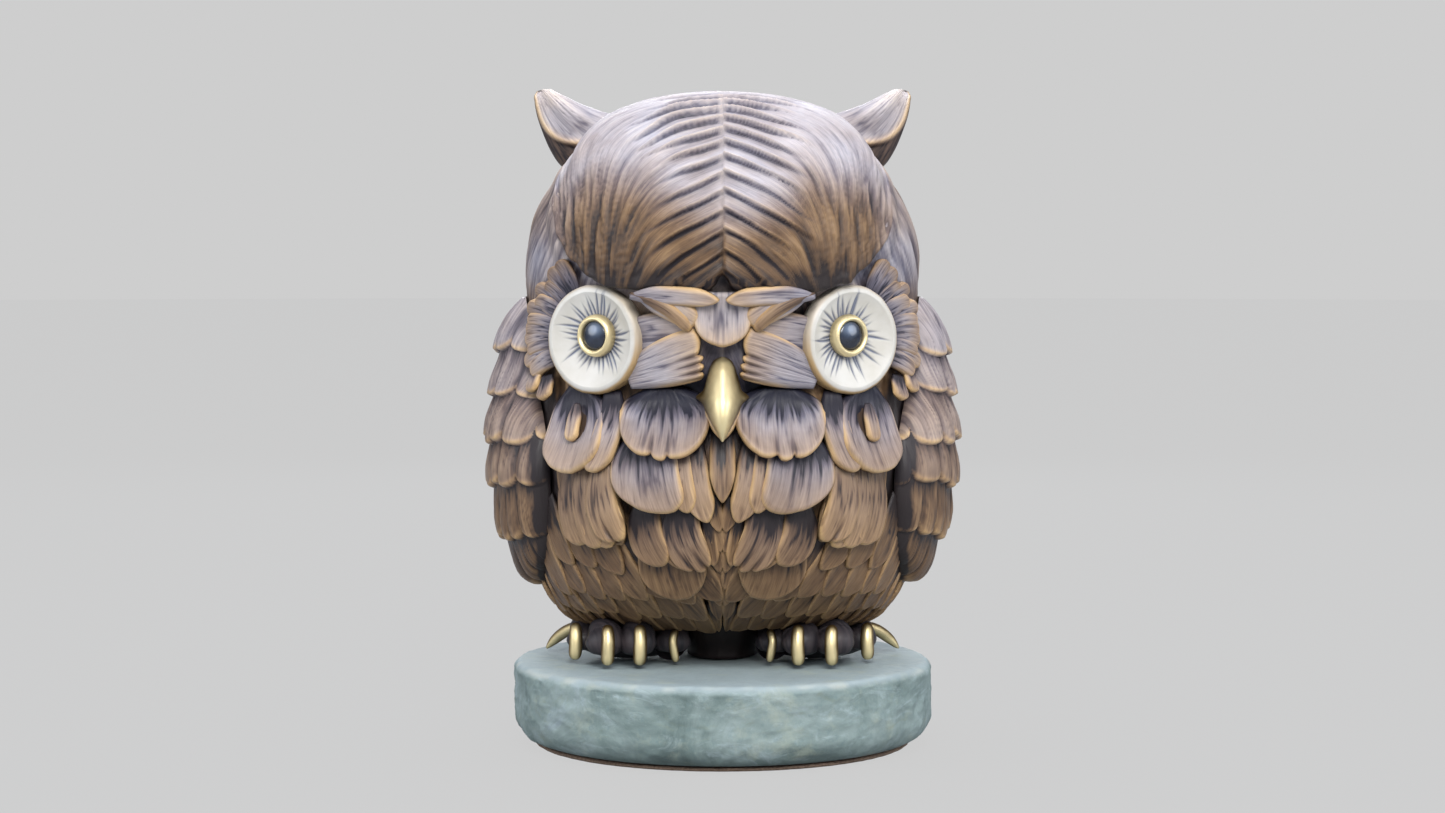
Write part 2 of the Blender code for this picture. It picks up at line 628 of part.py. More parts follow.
def make_feet(skin_finish, claw_metal, body):
    """Two feet on the stone, cut to the belly above them, with the claws let into their toes."""
    body_room = helper(body, "body_room", SEAT)
    for side, hand in ((1, "left"), (-1, "right")):
        sole = (side * SCREW_X, -1, GROUND + 3.4)
        foot = ellipsoid(f"foot_{hand}", sole, (15.5, 12.5, 4.6), material=skin_finish)
        claws = [make_toe(foot, side, hand, number, claw_metal) for number in (1, 2, 3, 4)]
        spine = [(side * x, y, z) for x, y, z in SPUR]
        claws.append(horn(f"claw_{hand}_5", spine, SPUR_SIZES, claw_metal))
        heel = ellipsoid(f"heel_{hand}", (side * 40.5, 5.0, GROUND + 3.6), (6.5, 5.0, 4.4), side * 28)
        combine(foot, heel, "UNION")
        floor = rod(f"floor_{hand}", (0, 0, GROUND - 20), (0, 0, GROUND), 80, None)
        rooms = [helper(claw, f"{claw.name}_room", GAP) for claw in claws]
        screw_hole = bpy.data.objects[f"screw_hole_{hand}"]
        for cutter in (floor, *rooms, body_room, screw_hole):
            combine(foot, cutter, "DIFFERENCE")
        combine(body, screw_hole, "DIFFERENCE")


# ---------- dowels ----------

def dowel_joint(name, start, end, wood, *holed):
    """A dowel between two points, and the hole for it in each piece that it holds."""
    start, end = Vector(start), Vector(end)
    along = (end - start).normalized()
    rod(name, start, end, DOWEL_RADIUS, wood, 12)
    hole = rod(f"{name}_hole", start - along, end + along, DOWEL_RADIUS + GAP, None, 12)
    for piece in holed:
        combine(piece, hole, "DIFFERENCE")


def make_dowels(wood, body, crown, wings, tufts):
    """The hidden dowels that hold the crown, the wings and the ear tufts to the body."""
    dowel_joint("crown_dowel", (0, 6, 174), (0, 6, 186), wood, body, crown)
    for side, wing, tuft, hand in ((1, wings[0], tufts[0], "left"), (-1, wings[1], tufts[1], "right")):
        for place, z in (("upper", 106), ("lower", 76)):
            dowel_joint(f"wing_dowel_{hand}_{place}", (side * 48, 4, z), (side * 62, 4, z), wood, body, wing)
        dowel_joint(f"ear_dowel_{hand}", (side * 36, 3, 163), (side * 46.4, 3, 178), wood, body, tuft)


def main():
    for old in list(bpy.data.objects):
        bpy.data.objects.remove(old)
    wood = finish("wood", (0.165, 0.085, 0.045), 0.42)
    pale_wood = finish("pale_wood", (0.26, 0.15, 0.085), 0.42)
    foot_skin = finish("foot_skin", (0.07, 0.05, 0.055), 0.4)
    disc_paint = finish("disc_paint", (0.66, 0.62, 0.54), 0.45)
    gold = finish("gold", (0.62, 0.44, 0.15), 0.3, 1.0)
    glass = finish("glass", (0.012, 0.013, 0.018), 0.06)
    stone = finish("stone", (0.24, 0.34, 0.31), 0.6)
    felt = finish("felt", (0.16, 0.1, 0.07), 0.95)
    dowel_wood = finish("dowel_wood", (0.5, 0.36, 0.2), 0.6)
    steel = finish("steel", (0.5, 0.5, 0.52), 0.35, 1.0)

    make_base(stone, felt, steel)
    body = make_body(wood)
    make_feet(foot_skin, gold, body)
    crown = make_crown(wood)
    make_leaves(pale_wood)
    make_cheek_bands(pale_wood)
    make_tail(wood)
    wings = make_wings(wood)
    tufts = make_ear_tufts(pale_wood)
    make_eyes(disc_paint, gold, glass, body)
    make_beak(gold, body)
    make_dowels(dowel_wood, body, crown, wings, tufts)


main()
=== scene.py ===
"""The looks of the carved owl: every feather, groove, gilded edge and stone fleck, laid on the CAD pieces.

Drawn in millimetres in the CAD's frame: the owl faces -Y, its own left is +X, and it stands on Z = 0.
A place on the body is (s, z): s is how far round from the beak along the arc, positive to +X.
"""

import math

import bpy
import numpy as np
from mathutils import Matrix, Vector


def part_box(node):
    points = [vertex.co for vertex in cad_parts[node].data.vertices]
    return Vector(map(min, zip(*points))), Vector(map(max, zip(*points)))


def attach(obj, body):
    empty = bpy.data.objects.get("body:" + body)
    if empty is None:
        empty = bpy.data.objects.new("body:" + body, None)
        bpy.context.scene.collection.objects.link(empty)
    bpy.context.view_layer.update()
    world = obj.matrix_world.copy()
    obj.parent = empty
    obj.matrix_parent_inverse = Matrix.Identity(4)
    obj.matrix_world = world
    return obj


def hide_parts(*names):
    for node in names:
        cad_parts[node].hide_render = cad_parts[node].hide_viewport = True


MM = 0.001
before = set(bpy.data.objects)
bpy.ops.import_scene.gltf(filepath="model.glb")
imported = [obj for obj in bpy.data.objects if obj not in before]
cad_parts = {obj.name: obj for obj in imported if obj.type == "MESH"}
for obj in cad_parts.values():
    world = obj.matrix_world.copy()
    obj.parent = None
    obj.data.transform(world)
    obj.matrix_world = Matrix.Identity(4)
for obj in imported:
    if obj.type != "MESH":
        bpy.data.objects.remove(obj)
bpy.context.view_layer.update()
SIDES = ((1, "left"), (-1, "right"))


def box_mm(node):
    """The node's lowest and highest corners, in millimetres."""
    return tuple(np.array(corner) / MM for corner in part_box(node))


# ---------- the shape of the body, as the CAD has it ----------

ARC = 54.0  # radius that turns an azimuth into a length round the body
BODY_LOW, BODY_HIGH = box_mm("body")
BODY_BOTTOM = 33.0
# The low block between the feet, which carries the body on the stone: its middle in y, half sizes in x and y
REST_MIDDLE, REST_SIZES = 8.0, (8.2, 12.0)
HEAD_MIDDLE = 136.0
HEAD_RISE = BODY_HIGH[2] - HEAD_MIDDLE
HEAD_SQUARENESS = 2.3
HEAD_SIZES = (BODY_HIGH[0], 47.5, 55.0)
CROWN_TOP = box_mm("crown")[1][2] - BODY_HIGH[2]  # the crown's thickness at its highest point
CROWN_BROW, CROWN_RIM = 9.0, 2.7  # its thickness over the brow and at the sides

# Height, half width, depth in front of the axis and behind it
BODY_SECTIONS = (
    (BODY_BOTTOM, 27.0, 3.0, 12.0), (35.5, 36.0, 11.5, 23.0), (38.5, 43.5, 20.5, 32.0),
    (42.5, 47.5, 30.0, 39.0), (48.0, 51.0, 38.5, 45.0), (56.0, 54.0, 45.5, 50.0),
    (66.0, 56.0, 50.0, 54.0), (82.0, 57.2, 52.0, 57.0), (93.0, 57.2, 49.5, 57.5),
    (102.0, 56.8, 44.8, 57.0), (118.0, 57.0, 44.3, 56.0), (HEAD_MIDDLE, *HEAD_SIZES),
)
# Azimuth in degrees from the beak, and the height of the crown's lower edge there
CROWN_EDGE = (
    (0, 137.2), (3, 134.2), (12, 133.4), (20, 133.4), (32, 134.6), (39, 137.4), (46, 141.8), (53, 147.6),
    (61, 156.5), (72, 168.0), (82, 173.5), (95, 175.5), (107, 173.5), (122, 168.0), (150, 158.0),
    (180, 152.0),
)
# Height, azimuth of the wing's front edge and of its back edge
WING_LOW, WING_HIGH = box_mm("wing_left")
WING_EDGES = (
    (WING_LOW[2], 80.0, 98.0), (56.0, 66.0, 128.0), (70.0, 59.5, 147.0), (84.0, 59.0, 150.0),
    (96.0, 63.0, 147.0), (105.0, 69.0, 141.0), (119.0, 73.5, 126.0), (WING_HIGH[2], 80.0, 102.0),
)


def spline(rows):
    """A smooth function through (t, value, ...) rows: it takes an array of t and gives an array per value."""
    table = np.array(rows, float)
    t, values = table[:, 0], table[:, 1:]
    slopes = np.gradient(values, t, axis=0)

    def at(x):
        x = np.clip(np.asarray(x, float), t[0], t[-1])
        i = np.clip(np.searchsorted(t, x, side="right") - 1, 0, len(t) - 2)
        step = (t[i + 1] - t[i])[..., None]
        f = (x - t[i])[..., None] / step
        out = (2 * f ** 3 - 3 * f ** 2 + 1) * values[i] + (f ** 3 - 2 * f ** 2 + f) * step * slopes[i]
        out = out + (3 * f ** 2 - 2 * f ** 3) * values[i + 1] + (f ** 3 - f ** 2) * step * slopes[i + 1]
        return np.moveaxis(out, -1, 0)

    return at


body_sections = spline(BODY_SECTIONS)
crown_edge = spline(CROWN_EDGE)
wing_edges = spline(WING_EDGES)


def ramp(x, start=0.0, end=1.0):
    """0 before start and 1 after end, smoothly."""
    f = np.clip((x - start) / (end - start), 0, 1)
    return f * f * (3 - 2 * f)


def full_turn(count):
    """A row of count even angles round a circle."""
    return np.linspace(0, 2 * math.pi, count, endpoint=False)[None, :]


def sections(z):
    """Half width, front depth and back depth of the bare body at height z."""
    share = np.clip((z - HEAD_MIDDLE) / HEAD_RISE, 0, 0.99995)
    shrink = (1 - share ** HEAD_SQUARENESS) ** (1 / HEAD_SQUARENESS)
    return [size * shrink for size in body_sections(np.minimum(z, HEAD_MIDDLE))]


def on_body(azimuth, z, proud):
    """Points at these azimuths (degrees) and heights, moved out from the bare body by proud."""
    azimuth, z, proud = np.broadcast_arrays(np.asarray(azimuth, float), z, proud)

    def bare(angle, height):
        width, front, back = sections(height)
        depth = np.where(np.cos(angle) > 0, front, back)
        return np.stack([width * np.sin(angle), -depth * np.cos(angle), height], -1)

    a, small = np.radians(azimuth), 0.004
    around = bare(a + small, z) - bare(a - small, z)
    up = bare(a, z + small * 9) - bare(a, z - small * 9)
    out = np.cross(around, up)
    out /= np.linalg.norm(out, axis=-1, keepdims=True) + 1e-12
    return bare(a, z) + out * proud[..., None]


def arc_at(x, z, proud=5.0):
    """The s at which a piece this proud of the body's front shows at this x."""
    width = sections(np.asarray(z, float))[0] + proud
    return ARC * np.arcsin(np.clip(x / width, -0.99, 0.99))


def crown_proud(azimuth, z):
    """The crown's thickness: full over the brow and on top, thin at the sides and the nape."""
    a = np.abs((azimuth + 180) % 360 - 180)
    climb = z - crown_edge(a)[0]
    rise = ramp(climb, -1, 14) * (1 - 0.75 * ramp(a, 46, 62) * (1 - ramp(climb, 2, 16)))
    lip = CROWN_RIM + (CROWN_BROW - CROWN_RIM) * ramp(58 - a, 0, 40)
    full = lip + (CROWN_TOP - lip) * ramp(z, 152, 178)
    return lip * 0.82 + (full - lip * 0.82) * rise


def wing_proud(azimuth, z):
    """The wing's thickness over the body, with its feather rows left out."""
    front, back = wing_edges(z)
    across = np.clip((2 * np.abs(azimuth) - front - back) / (back - front), -1, 1)
    down = np.clip((WING_HIGH[2] - z) / (WING_HIGH[2] - WING_LOW[2]), 0.0, 1.0)
    body = 1.0 + 9.6 * (4 * down * (1 - down)) ** 0.6
    return body * (1 - 0.5 * np.abs(across) ** 4)


# ---------- noise ----------

def hashed(ix, iy, seed):
    """A random number from 0 to 1 for each pair of whole numbers."""
    n = (ix * 374761393 + iy * 668265263 + seed * 974634777 + 144665) & 0xFFFFFFFF
    n = ((n ^ (n >> 13)) * 1274126177) & 0xFFFFFFFF
    return ((n ^ (n >> 16)) & 0xFFFF) / 65535.0


def noise(x, y, seed=0):
    """Smooth random values from 0 to 1, one lattice cell per unit of x and y."""
    x, y = np.broadcast_arrays(np.asarray(x, float), np.asarray(y, float))
    ix, iy = np.floor(x).astype(np.int64), np.floor(y).astype(np.int64)
    fx, fy = ramp(x - ix), ramp(y - iy)
    low = hashed(ix, iy, seed) * (1 - fx) + hashed(ix + 1, iy, seed) * fx
    high = hashed(ix, iy + 1, seed) * (1 - fx) + hashed(ix + 1, iy + 1, seed) * fx
    return low * (1 - fy) + high * fy


def grooves(across, along, seed=0):
    """Carved lines that run along: 0 between them, up to 1 in their bottoms. Sizes are in line spacings."""
    drift = across + 0.9 * noise(across * 0.31, along * 0.12, seed + 5)
    lines = 1 - np.abs(2 * noise(drift * 1.4, along * 0.07, seed) - 1)
    fine = 1 - np.abs(2 * noise(drift * 3.1, along * 0.16, seed + 9) - 1)
    return 0.7 * lines ** 3 + 0.3 * fine ** 2


# ---------- meshes ----------

INNER = (slice(1, -1), slice(1, -1))  # the points of a grid that aren't on its border


class Patch:
    """Grids of points that become one mesh, with what its material needs to know at each point.

    tone runs from 0, painted crevice shade, to 1, a worn gilded edge, and holds the wood's own tone with
    painted shade. The value after it is a painted pale bluish sheen for the sky's reflection, on the eye
    discs their worn golden rim.
    strand is (mm across the grain, mm along it, a random number).
    """

    def __init__(self):
        self.points, self.quads, self.tones, self.hazes, self.strands = [], [], [], [], []
        self.count = 0

    def add_points(self, points, tone, haze, strand):
        points = np.asarray(points, float)
        shape = points.shape[:-1]
        self.points.append(points.reshape(-1, 3))
        self.tones.append(np.broadcast_to(tone, shape).reshape(-1))
        self.hazes.append(np.broadcast_to(haze, shape).reshape(-1))
        self.strands.append(np.broadcast_to(strand, (*shape, 3)).reshape(-1, 3))
        first = self.count
        self.count += int(np.prod(shape))
        return np.arange(first, self.count).reshape(shape)

    def add_grid(self, index, flip=False, wrap=False):
        """Faces over a grid of point numbers. wrap joins the last column to the first."""
        if wrap:
            index = np.concatenate([index, index[:, :1]], axis=1)
        corners = [index[:-1, :-1], index[:-1, 1:], index[1:, 1:], index[1:, :-1]]
        self.add_quads(np.stack(corners, -1).reshape(-1, 4), flip)

    def add_quads(self, quads, flip):
        self.quads.append(quads[:, ::-1] if flip else quads)

    def add_cap(self, ring, middle, flip=False):
        """Faces from a closed ring of an even number of points to one point inside it."""
        after = np.roll(ring, -1)
        hub = np.full(len(ring) // 2, middle)
        self.add_quads(np.stack([ring[0::2], after[0::2], after[1::2], hub], -1), flip)

    def add_leaf(self, upper, lower_points, tone, strand):
        """Faces over a grid and, closing it from behind, over the points below its inner ones."""
        lower = upper.copy()
        lower[INNER] = self.add_points(lower_points[INNER], tone, 0.0, strand[INNER])
        self.add_grid(upper)
        self.add_grid(lower, flip=True)

    def build(self, name, material, replaces=()):
        points = np.concatenate(self.points) * MM
        quads = np.concatenate(self.quads)
        mesh = bpy.data.meshes.new(name)
        mesh.vertices.add(len(points))
        mesh.vertices.foreach_set("co", points.astype(np.float32).ravel())
        mesh.loops.add(quads.size)
        mesh.loops.foreach_set("vertex_index", quads.astype(np.int32).ravel())
        mesh.polygons.add(len(quads))
        mesh.polygons.foreach_set("loop_start", np.arange(0, quads.size, 4, dtype=np.int32))
        mesh.update(calc_edges=True)
        for key, kind, field, values in (
            ("tone", "FLOAT", "value", np.concatenate(self.tones)),
            ("haze", "FLOAT", "value", np.concatenate(self.hazes)),
            ("strand", "FLOAT_VECTOR", "vector", np.concatenate(self.strands)),
        ):
            attribute = mesh.attributes.new(key, kind, "POINT")
            attribute.data.foreach_set(field, values.astype(np.float32).ravel())
        mesh.shade_smooth()
        mesh.validate()
        mesh.materials.append(material)
        piece = bpy.data.objects.new(name, mesh)
        bpy.context.scene.collection.objects.link(piece)
        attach(piece, "root")
        if replaces:
            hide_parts(*replaces)


def body_place(side=1):
    """place(s, z, h) gives a point h out from the bare body, on the owl's left or, for side -1, its right."""
    def place(s, z, h):
        return on_body(side * np.degrees(s / ARC), z, h)

    return place


# Of a feather, in mm: the width of a split between lobes and of the gilded rim, and how ragged the tip is
SPLIT_WIDTH, RIM_WIDTH, RAGGED_TIP = 0.6, 0.95, 0.35


def rounded_edge(distance, radius):
    """0 at an edge and 1 from radius inwards, like a quarter circle."""
    return np.sqrt(np.maximum(1 - (1 - np.minimum(distance / radius, 1)) ** 2, 0))


def tip_lobes(u, cuts, half_width):
    """For a tip split at cuts: each column's lobe, each point's place across it, how near a split it is."""
    bounds = np.array([-1.0, *sorted(cuts), 1.0])
    lobe = np.clip(np.searchsorted(bounds, u[0], side="right") - 1, 0, len(bounds) - 2)
    low, high = bounds[lobe], bounds[lobe + 1]
    w = np.clip((2 * u[0] - low - high) / (high - low), -1, 1)[None, :] * np.ones_like(u)
    narrow = (high - low)[None, :] * half_width / 2
    split = np.exp(-((1 - np.abs(w)) * narrow / SPLIT_WIDTH) ** 2) * (1 if cuts else 0)
    return lobe, w, split


def root_shade(v, lines):
    """The painted shade towards a feather's root, under the feathers above, in streaks that follow its lines.
    """
    streaky = v + 0.10 - 0.45 * lines * (1 - v)
    return 1 - ramp(streaky, 0.0, 0.64)


def groove_shade(v, lines, inner):
    """The painted shade in a feather's deepest lines, fainter towards its tip."""
    return ramp(lines, 0.42, 1.0) * inner * (1 - 0.5 * ramp(v, 0.45, 0.9))


def petal(
    patch, place, root, tip, half_width, *, bend=0.0, root_share=0.6, full_at=0.6, rounding=0.9, point=2.0,
    cuts=(), notch=1.6, seat=0.2, lift=2.0, thick=2.0, lift_power=1.6, dish=0.0, arch=0.0, groove=0.2,
    spacing=1.1, fan=0.6, tone=0.5, haze=0.0, edge=0.4, shade=0.6, size=(24, 32), seed=0, skew=0.0,
):
    """One carved feather: a closed leaf with rounded edges, laid from root to tip over the ground.

    rounding is how much of the half width the tip's roundness takes from the length at the sides, point the
    power of its curve, and skew how much further the tip reaches on one side. root_share is the root's share
    of the width, which is full from full_at on. bend bows the feather sideways.
    cuts are the places across, from -1 to 1, where the tip is split into rounded lobes, notch deep.
    seat is the gap under the root, and lift, growing with lift_power, raises the tip. thick is the leaf's
    thickness there, dish hollows it and arch crowns it across. groove is how deep its lines are cut, spacing
    how far apart, and fan how much they run parallel instead of drawing together at the root.
    shade is how dark the root gets under the feathers above, and edge how gilded the tip's rim is.
    """
    root, tip = np.array(root, float), np.array(tip, float)
    length = np.linalg.norm(tip - root)
    along = (tip - root) / length
    across = np.array([-along[1], along[0]])
    columns, rows = size
    even = np.linspace(-1, 1, columns)
    u = (0.45 * even + 0.55 * np.sin(math.pi / 2 * even))[None, :] * np.ones((rows, 1))
    v = (1 - (1 - np.linspace(0, 1, rows)) ** 1.35)[:, None] * np.ones((1, columns))

    share = root_share + (1 - root_share) * np.sin(math.pi / 2 * np.minimum(v / full_at, 1))
    lobe, w, split = tip_lobes(u, cuts, half_width)
    ragged = RAGGED_TIP * (noise(u * half_width * 0.6, seed * 1.3, seed + 3) - 0.5)
    shortfall = rounding * half_width * (1 - (1 - np.abs(u) ** point) ** (1 / point)) + ragged
    if cuts:
        scallop = 1 - (1 - np.abs(w) ** 2.0) ** 0.5
        uneven = 0.5 + noise(lobe[None, :] * 1.7 + 0.5, seed * 0.9, seed + 2)
        shortfall = shortfall + notch * (scallop + 0.5 * (uneven - 0.5))
    reach = 1 - np.clip(shortfall / length, 0, 0.97) - skew * u
    down = v * reach
    middle = root + (tip - root) * down[..., None] + across * (bend * 4 * down * (1 - down))[..., None]
    plane = middle + across * (u * share * half_width)[..., None]

    from_side = (1 - np.abs(u)) * half_width * share
    from_tip = (1 - v) * length * reach
    radius = thick * 0.75
    rounded = rounded_edge(from_side, radius) * rounded_edge(from_tip, radius)
    rounded = rounded * rounded_edge(v * length, radius * 0.6)

    strand_across = u * half_width * (fan + (1 - fan) * share)
    strand_along = down * length
    lines = grooves(strand_across / spacing + seed * 3.7, strand_along / spacing, seed)
    inner = np.minimum(np.minimum(from_side, from_tip) / max(thick * 0.8, 1.4), 1) ** 1.5
    split = split * ramp(v, 0.60, 0.95) * (np.abs(u) < 0.96)
    back = seat + lift * (1 - 0.35 * u ** 4) * v ** lift_power + arch * (1 - u ** 2) * ramp(v, 0, 0.5)
    body = 0.55 * thick + 0.45 * thick * v
    hollow = np.clip(1 - (u ** 2 + ((v - 0.55) / 0.5) ** 2), 0, 1)
    top = back + body * rounded - dish * hollow * rounded
    top -= groove * lines * inner + 0.40 * thick * split * rounded
    under = back + 0.25 * body * rounded

    rim = np.exp(-(np.minimum(from_side, from_tip) / RIM_WIDTH) ** 2) * ramp(v, 0.2, 0.6)
    # Painted light: the root, the deepest lines and the splits between lobes are painted darker as shade, and
    # the painted bluish sheen fades at the rim and towards the tip; the gilded rim is the wood's own.
    lightness = tone + edge * rim - shade * root_shade(v, lines) - 0.40 * groove_shade(v, lines, inner)
    lightness += 0.16 * (noise(seed * 1.7, 0.5, 11) - 0.5) + 0.10 * (ramp(v, 0.3, 1) - 0.5) - 0.4 * split
    painted_sheen = haze * (1 - 0.85 * rim) * (1 - 0.65 * ramp(v, 0.40, 1.0))
    strand = np.stack([strand_across, strand_along, np.full_like(u, seed * 0.731 % 50)], -1)
    upper = patch.add_points(place(plane[..., 0], plane[..., 1], top), lightness, painted_sheen, strand)
    patch.add_leaf(upper, place(plane[..., 0], plane[..., 1], under), 0.12, strand)


def loft(patch, rings, tone, haze, strand, flip=False):
    """A closed skin over rings of points: (rings, points round, 3), each end drawn to its middle."""
    index = patch.add_points(rings, tone, haze, strand)
    patch.add_grid(index, flip=flip, wrap=True)
    tone = np.broadcast_to(tone, index.shape)
    for row, turned in ((0, not flip), (-1, flip)):
        middle = patch.add_points(rings[row].mean(axis=0)[None], tone[row].mean(), 0.0, np.zeros(3))
        patch.add_cap(index[row], middle[0], flip=turned)


def tube(path, wide, high, around, up):
    """Rings round a path, wide across it and high along up, with frames that follow the path."""
    forward = np.gradient(path, axis=0)
    forward /= np.linalg.norm(forward, axis=1, keepdims=True)
    side = np.cross(forward, np.array(up, float))
    side /= np.linalg.norm(side, axis=1, keepdims=True)
    top = np.cross(side, forward)
    turn = np.linspace(0, 2 * math.pi, around, endpoint=False)
    across = side[:, None] * (np.cos(turn)[None, :, None] * wide[:, None, None])
    return path[:, None] + across + top[:, None] * (np.sin(turn)[None, :, None] * high[:, None, None])


CELL = 0.4  # pitch of the grids that strands are combed over, in mm


def combed(angle, seed, reach, wide):
    """A field of long strands over a grid: random specks smeared along angle, both ways, by reach.

    angle is in radians from the column direction towards the row direction, and wide is the size of a speck.
    """
    rows, columns = angle.shape
    iy, ix = np.mgrid[0:rows, 0:columns].astype(float)
    specks = noise(ix * CELL / wide, iy * CELL / wide, seed)
    stride = 0.5
    step = stride / CELL
    total = specks.copy()
    weight = 1.0
    count = int(reach / stride)
    for way in (1, -1):
        x, y = ix.copy(), iy.copy()
        for k in range(count):
            row = np.clip(y.astype(int), 0, rows - 1)
            column = np.clip(x.astype(int), 0, columns - 1)
            x = np.clip(x + way * step * np.cos(angle[row, column]), 0, columns - 1)
            y = np.clip(y + way * step * np.sin(angle[row, column]), 0, rows - 1)
            fade = 1 - k / count
            total += fade * specks[np.rint(y).astype(int), np.rint(x).astype(int)]
            weight += fade
    field = total / weight
    field = (field - field.mean()) / field.std()
    return np.clip(0.5 + field / 4, 0, 1)


def sample(field, rows, columns):
    """Values of a grid field between its cells."""
    rows = np.clip(rows, 0, field.shape[0] - 1.001)
    columns = np.clip(columns, 0, field.shape[1] - 1.001)
    i, j = rows.astype(int), columns.astype(int)
    fy, fx = rows - i, columns - j
    low = field[i, j] * (1 - fx) + field[i, j + 1] * fx
    high = field[i + 1, j] * (1 - fx) + field[i + 1, j + 1] * fx
    return low * (1 - fy) + high * fy


# ---------- materials ----------

class Nodes:
    """A material's node tree, with short calls to add nodes to it."""

    def __init__(self, name):
        self.material = bpy.data.materials.new(name)
        self.material.use_nodes = True
        self.tree = self.material.node_tree
        self.shader = self.tree.nodes["Principled BSDF"]

    def add(self, kind, **settings):
        node = self.tree.nodes.new(kind)
        for key, value in settings.items():
            setattr(node, key, value)
        return node

    def link(self, output, target):
        self.tree.links.new(output, target)

    def attribute(self, name, output="Fac"):
        return self.add("ShaderNodeAttribute", attribute_name=name).outputs[output]

    def math(self, operation, *values, clamp=False):
        node = self.add("ShaderNodeMath", operation=operation, use_clamp=clamp)
        for socket, value in zip(node.inputs, values):
            self.feed(value, socket)
        return node.outputs[0]

    def feed(self, value, socket):
        if isinstance(value, bpy.types.NodeSocket):
            self.link(value, socket)
        else:
            socket.default_value = value

    def noise(self, vector, scale, detail=3.0, roughness=0.55, distortion=0.0):
        node = self.add("ShaderNodeTexNoise")
        self.link(vector, node.inputs["Vector"])
        settings = {"Scale": scale, "Detail": detail, "Roughness": roughness, "Distortion": distortion}
        for key, value in settings.items():
            node.inputs[key].default_value = value
        return node.outputs["Fac"]

    def scaled(self, vector, scale):
        node = self.add("ShaderNodeMapping")
        self.link(vector, node.inputs["Vector"])
        node.inputs["Scale"].default_value = scale
        return node.outputs["Vector"]

    def place(self):
        return self.add("ShaderNodeTexCoord").outputs["Object"]

    def colours(self, factor, *stops):
        node = self.add("ShaderNodeValToRGB")
        self.link(factor, node.inputs["Fac"])
        elements = node.color_ramp.elements
        while len(elements) < len(stops):
            elements.new(0.5)
        for element, (position, colour) in zip(elements, stops):
            element.position = position
            element.color = (*colour, 1.0)
        return node.outputs["Color"]

    def mix(self, factor, a, b):
        node = self.add("ShaderNodeMix", data_type="RGBA")
        self.feed(factor, node.inputs["Factor"])
        for value, socket in ((a, node.inputs[6]), (b, node.inputs[7])):
            self.feed(value if isinstance(value, bpy.types.NodeSocket) else (*value, 1.0), socket)
        return node.outputs[2]

    def span(self, value, low, high, to_low, to_high):
        node = self.add("ShaderNodeMapRange", clamp=True)
        self.link(value, node.inputs["Value"])
        for key, number in (("From Min", low), ("From Max", high), ("To Min", to_low), ("To Max", to_high)):
            node.inputs[key].default_value = number
        return node.outputs["Result"]

    def bump(self, height, strength, distance, under=None):
        node = self.add("ShaderNodeBump")
        self.link(height, node.inputs["Height"])
        node.inputs["Strength"].default_value = strength
        node.inputs["Distance"].default_value = distance * MM
        if under:
            self.link(under, node.inputs["Normal"])
        return node.outputs["Normal"]

    def set(self, **values):
        for key, value in values.items():
            socket = self.shader.inputs[key.replace("_", " ")]
            if isinstance(value, tuple):
                value = (*value, 1.0)
            self.feed(value, socket)
        return self.material


# The colours of the painted bluish sheen of the sky, and the tones of sheen and wood alike at which each
# colour lies
SHEEN_COLOURS = ((0.012, 0.013, 0.025), (0.100, 0.100, 0.140), (0.31, 0.298, 0.330), (0.52, 0.475, 0.45))
TONE_STOPS = (0.0, 0.3, 0.62, 0.95)


def carved_wood(name, *browns):
    """Stained carved wood: painted shade dark in the cuts and under the feathers above, worn golden on the
    edges, with fine grain along each feather.

    Where the painted sheen lies, a painted reflection of the sky, the same tones turn from brown to a pale
    bluish grey.
    """
    n = Nodes(name)
    strand = n.attribute("strand", "Vector")
    hair = n.noise(n.scaled(strand, (2.4, 0.14, 1.0)), 1.0, 2.0, 0.6)
    cloud = n.noise(n.place(), 60.0, 4.0, 0.6)
    grain = n.math("MULTIPLY", n.math("SUBTRACT", hair, 0.5), 0.42)
    tone = n.math("ADD", n.attribute("tone"), grain)
    tone = n.math("ADD", tone, n.math("MULTIPLY", n.math("SUBTRACT", cloud, 0.5), 0.3), clamp=True)
    brown, grey = (n.colours(tone, *zip(TONE_STOPS, colours)) for colours in (browns, SHEEN_COLOURS))
    # The painted bluish sheen of the sky, made patchy by the cloud noise.
    sheen_amount = n.math("MULTIPLY", n.attribute("haze"), n.span(cloud, 0.3, 0.7, 0.65, 1.0), clamp=True)
    colour = n.mix(sheen_amount, brown, grey)
    return n.set(Base_Color=colour, Roughness=n.span(hair, 0.3, 0.75, 0.42, 0.58), Specular_IOR_Level=0.28,
                 Normal=n.bump(hair, 0.40, 0.3))


def ivory():
    """Old ivory paint, with ink in the carved rays, painted shade round the eye ring and a worn golden rim.
    """
    n = Nodes("ivory_paint")
    cloud = n.noise(n.place(), 90.0, 4.0)
    paint = n.colours(cloud, (0.3, (0.40, 0.38, 0.335)), (0.65, (0.49, 0.48, 0.455)))
    edge = n.mix(n.attribute("haze"), paint, (0.36, 0.24, 0.11))
    # tone holds the ink in the rays and the painted shade round the ring.
    colour = n.mix(n.attribute("tone"), edge, (0.060, 0.078, 0.135))
    return n.set(Base_Color=colour, Roughness=0.42, Normal=n.bump(cloud, 0.25, 0.2))


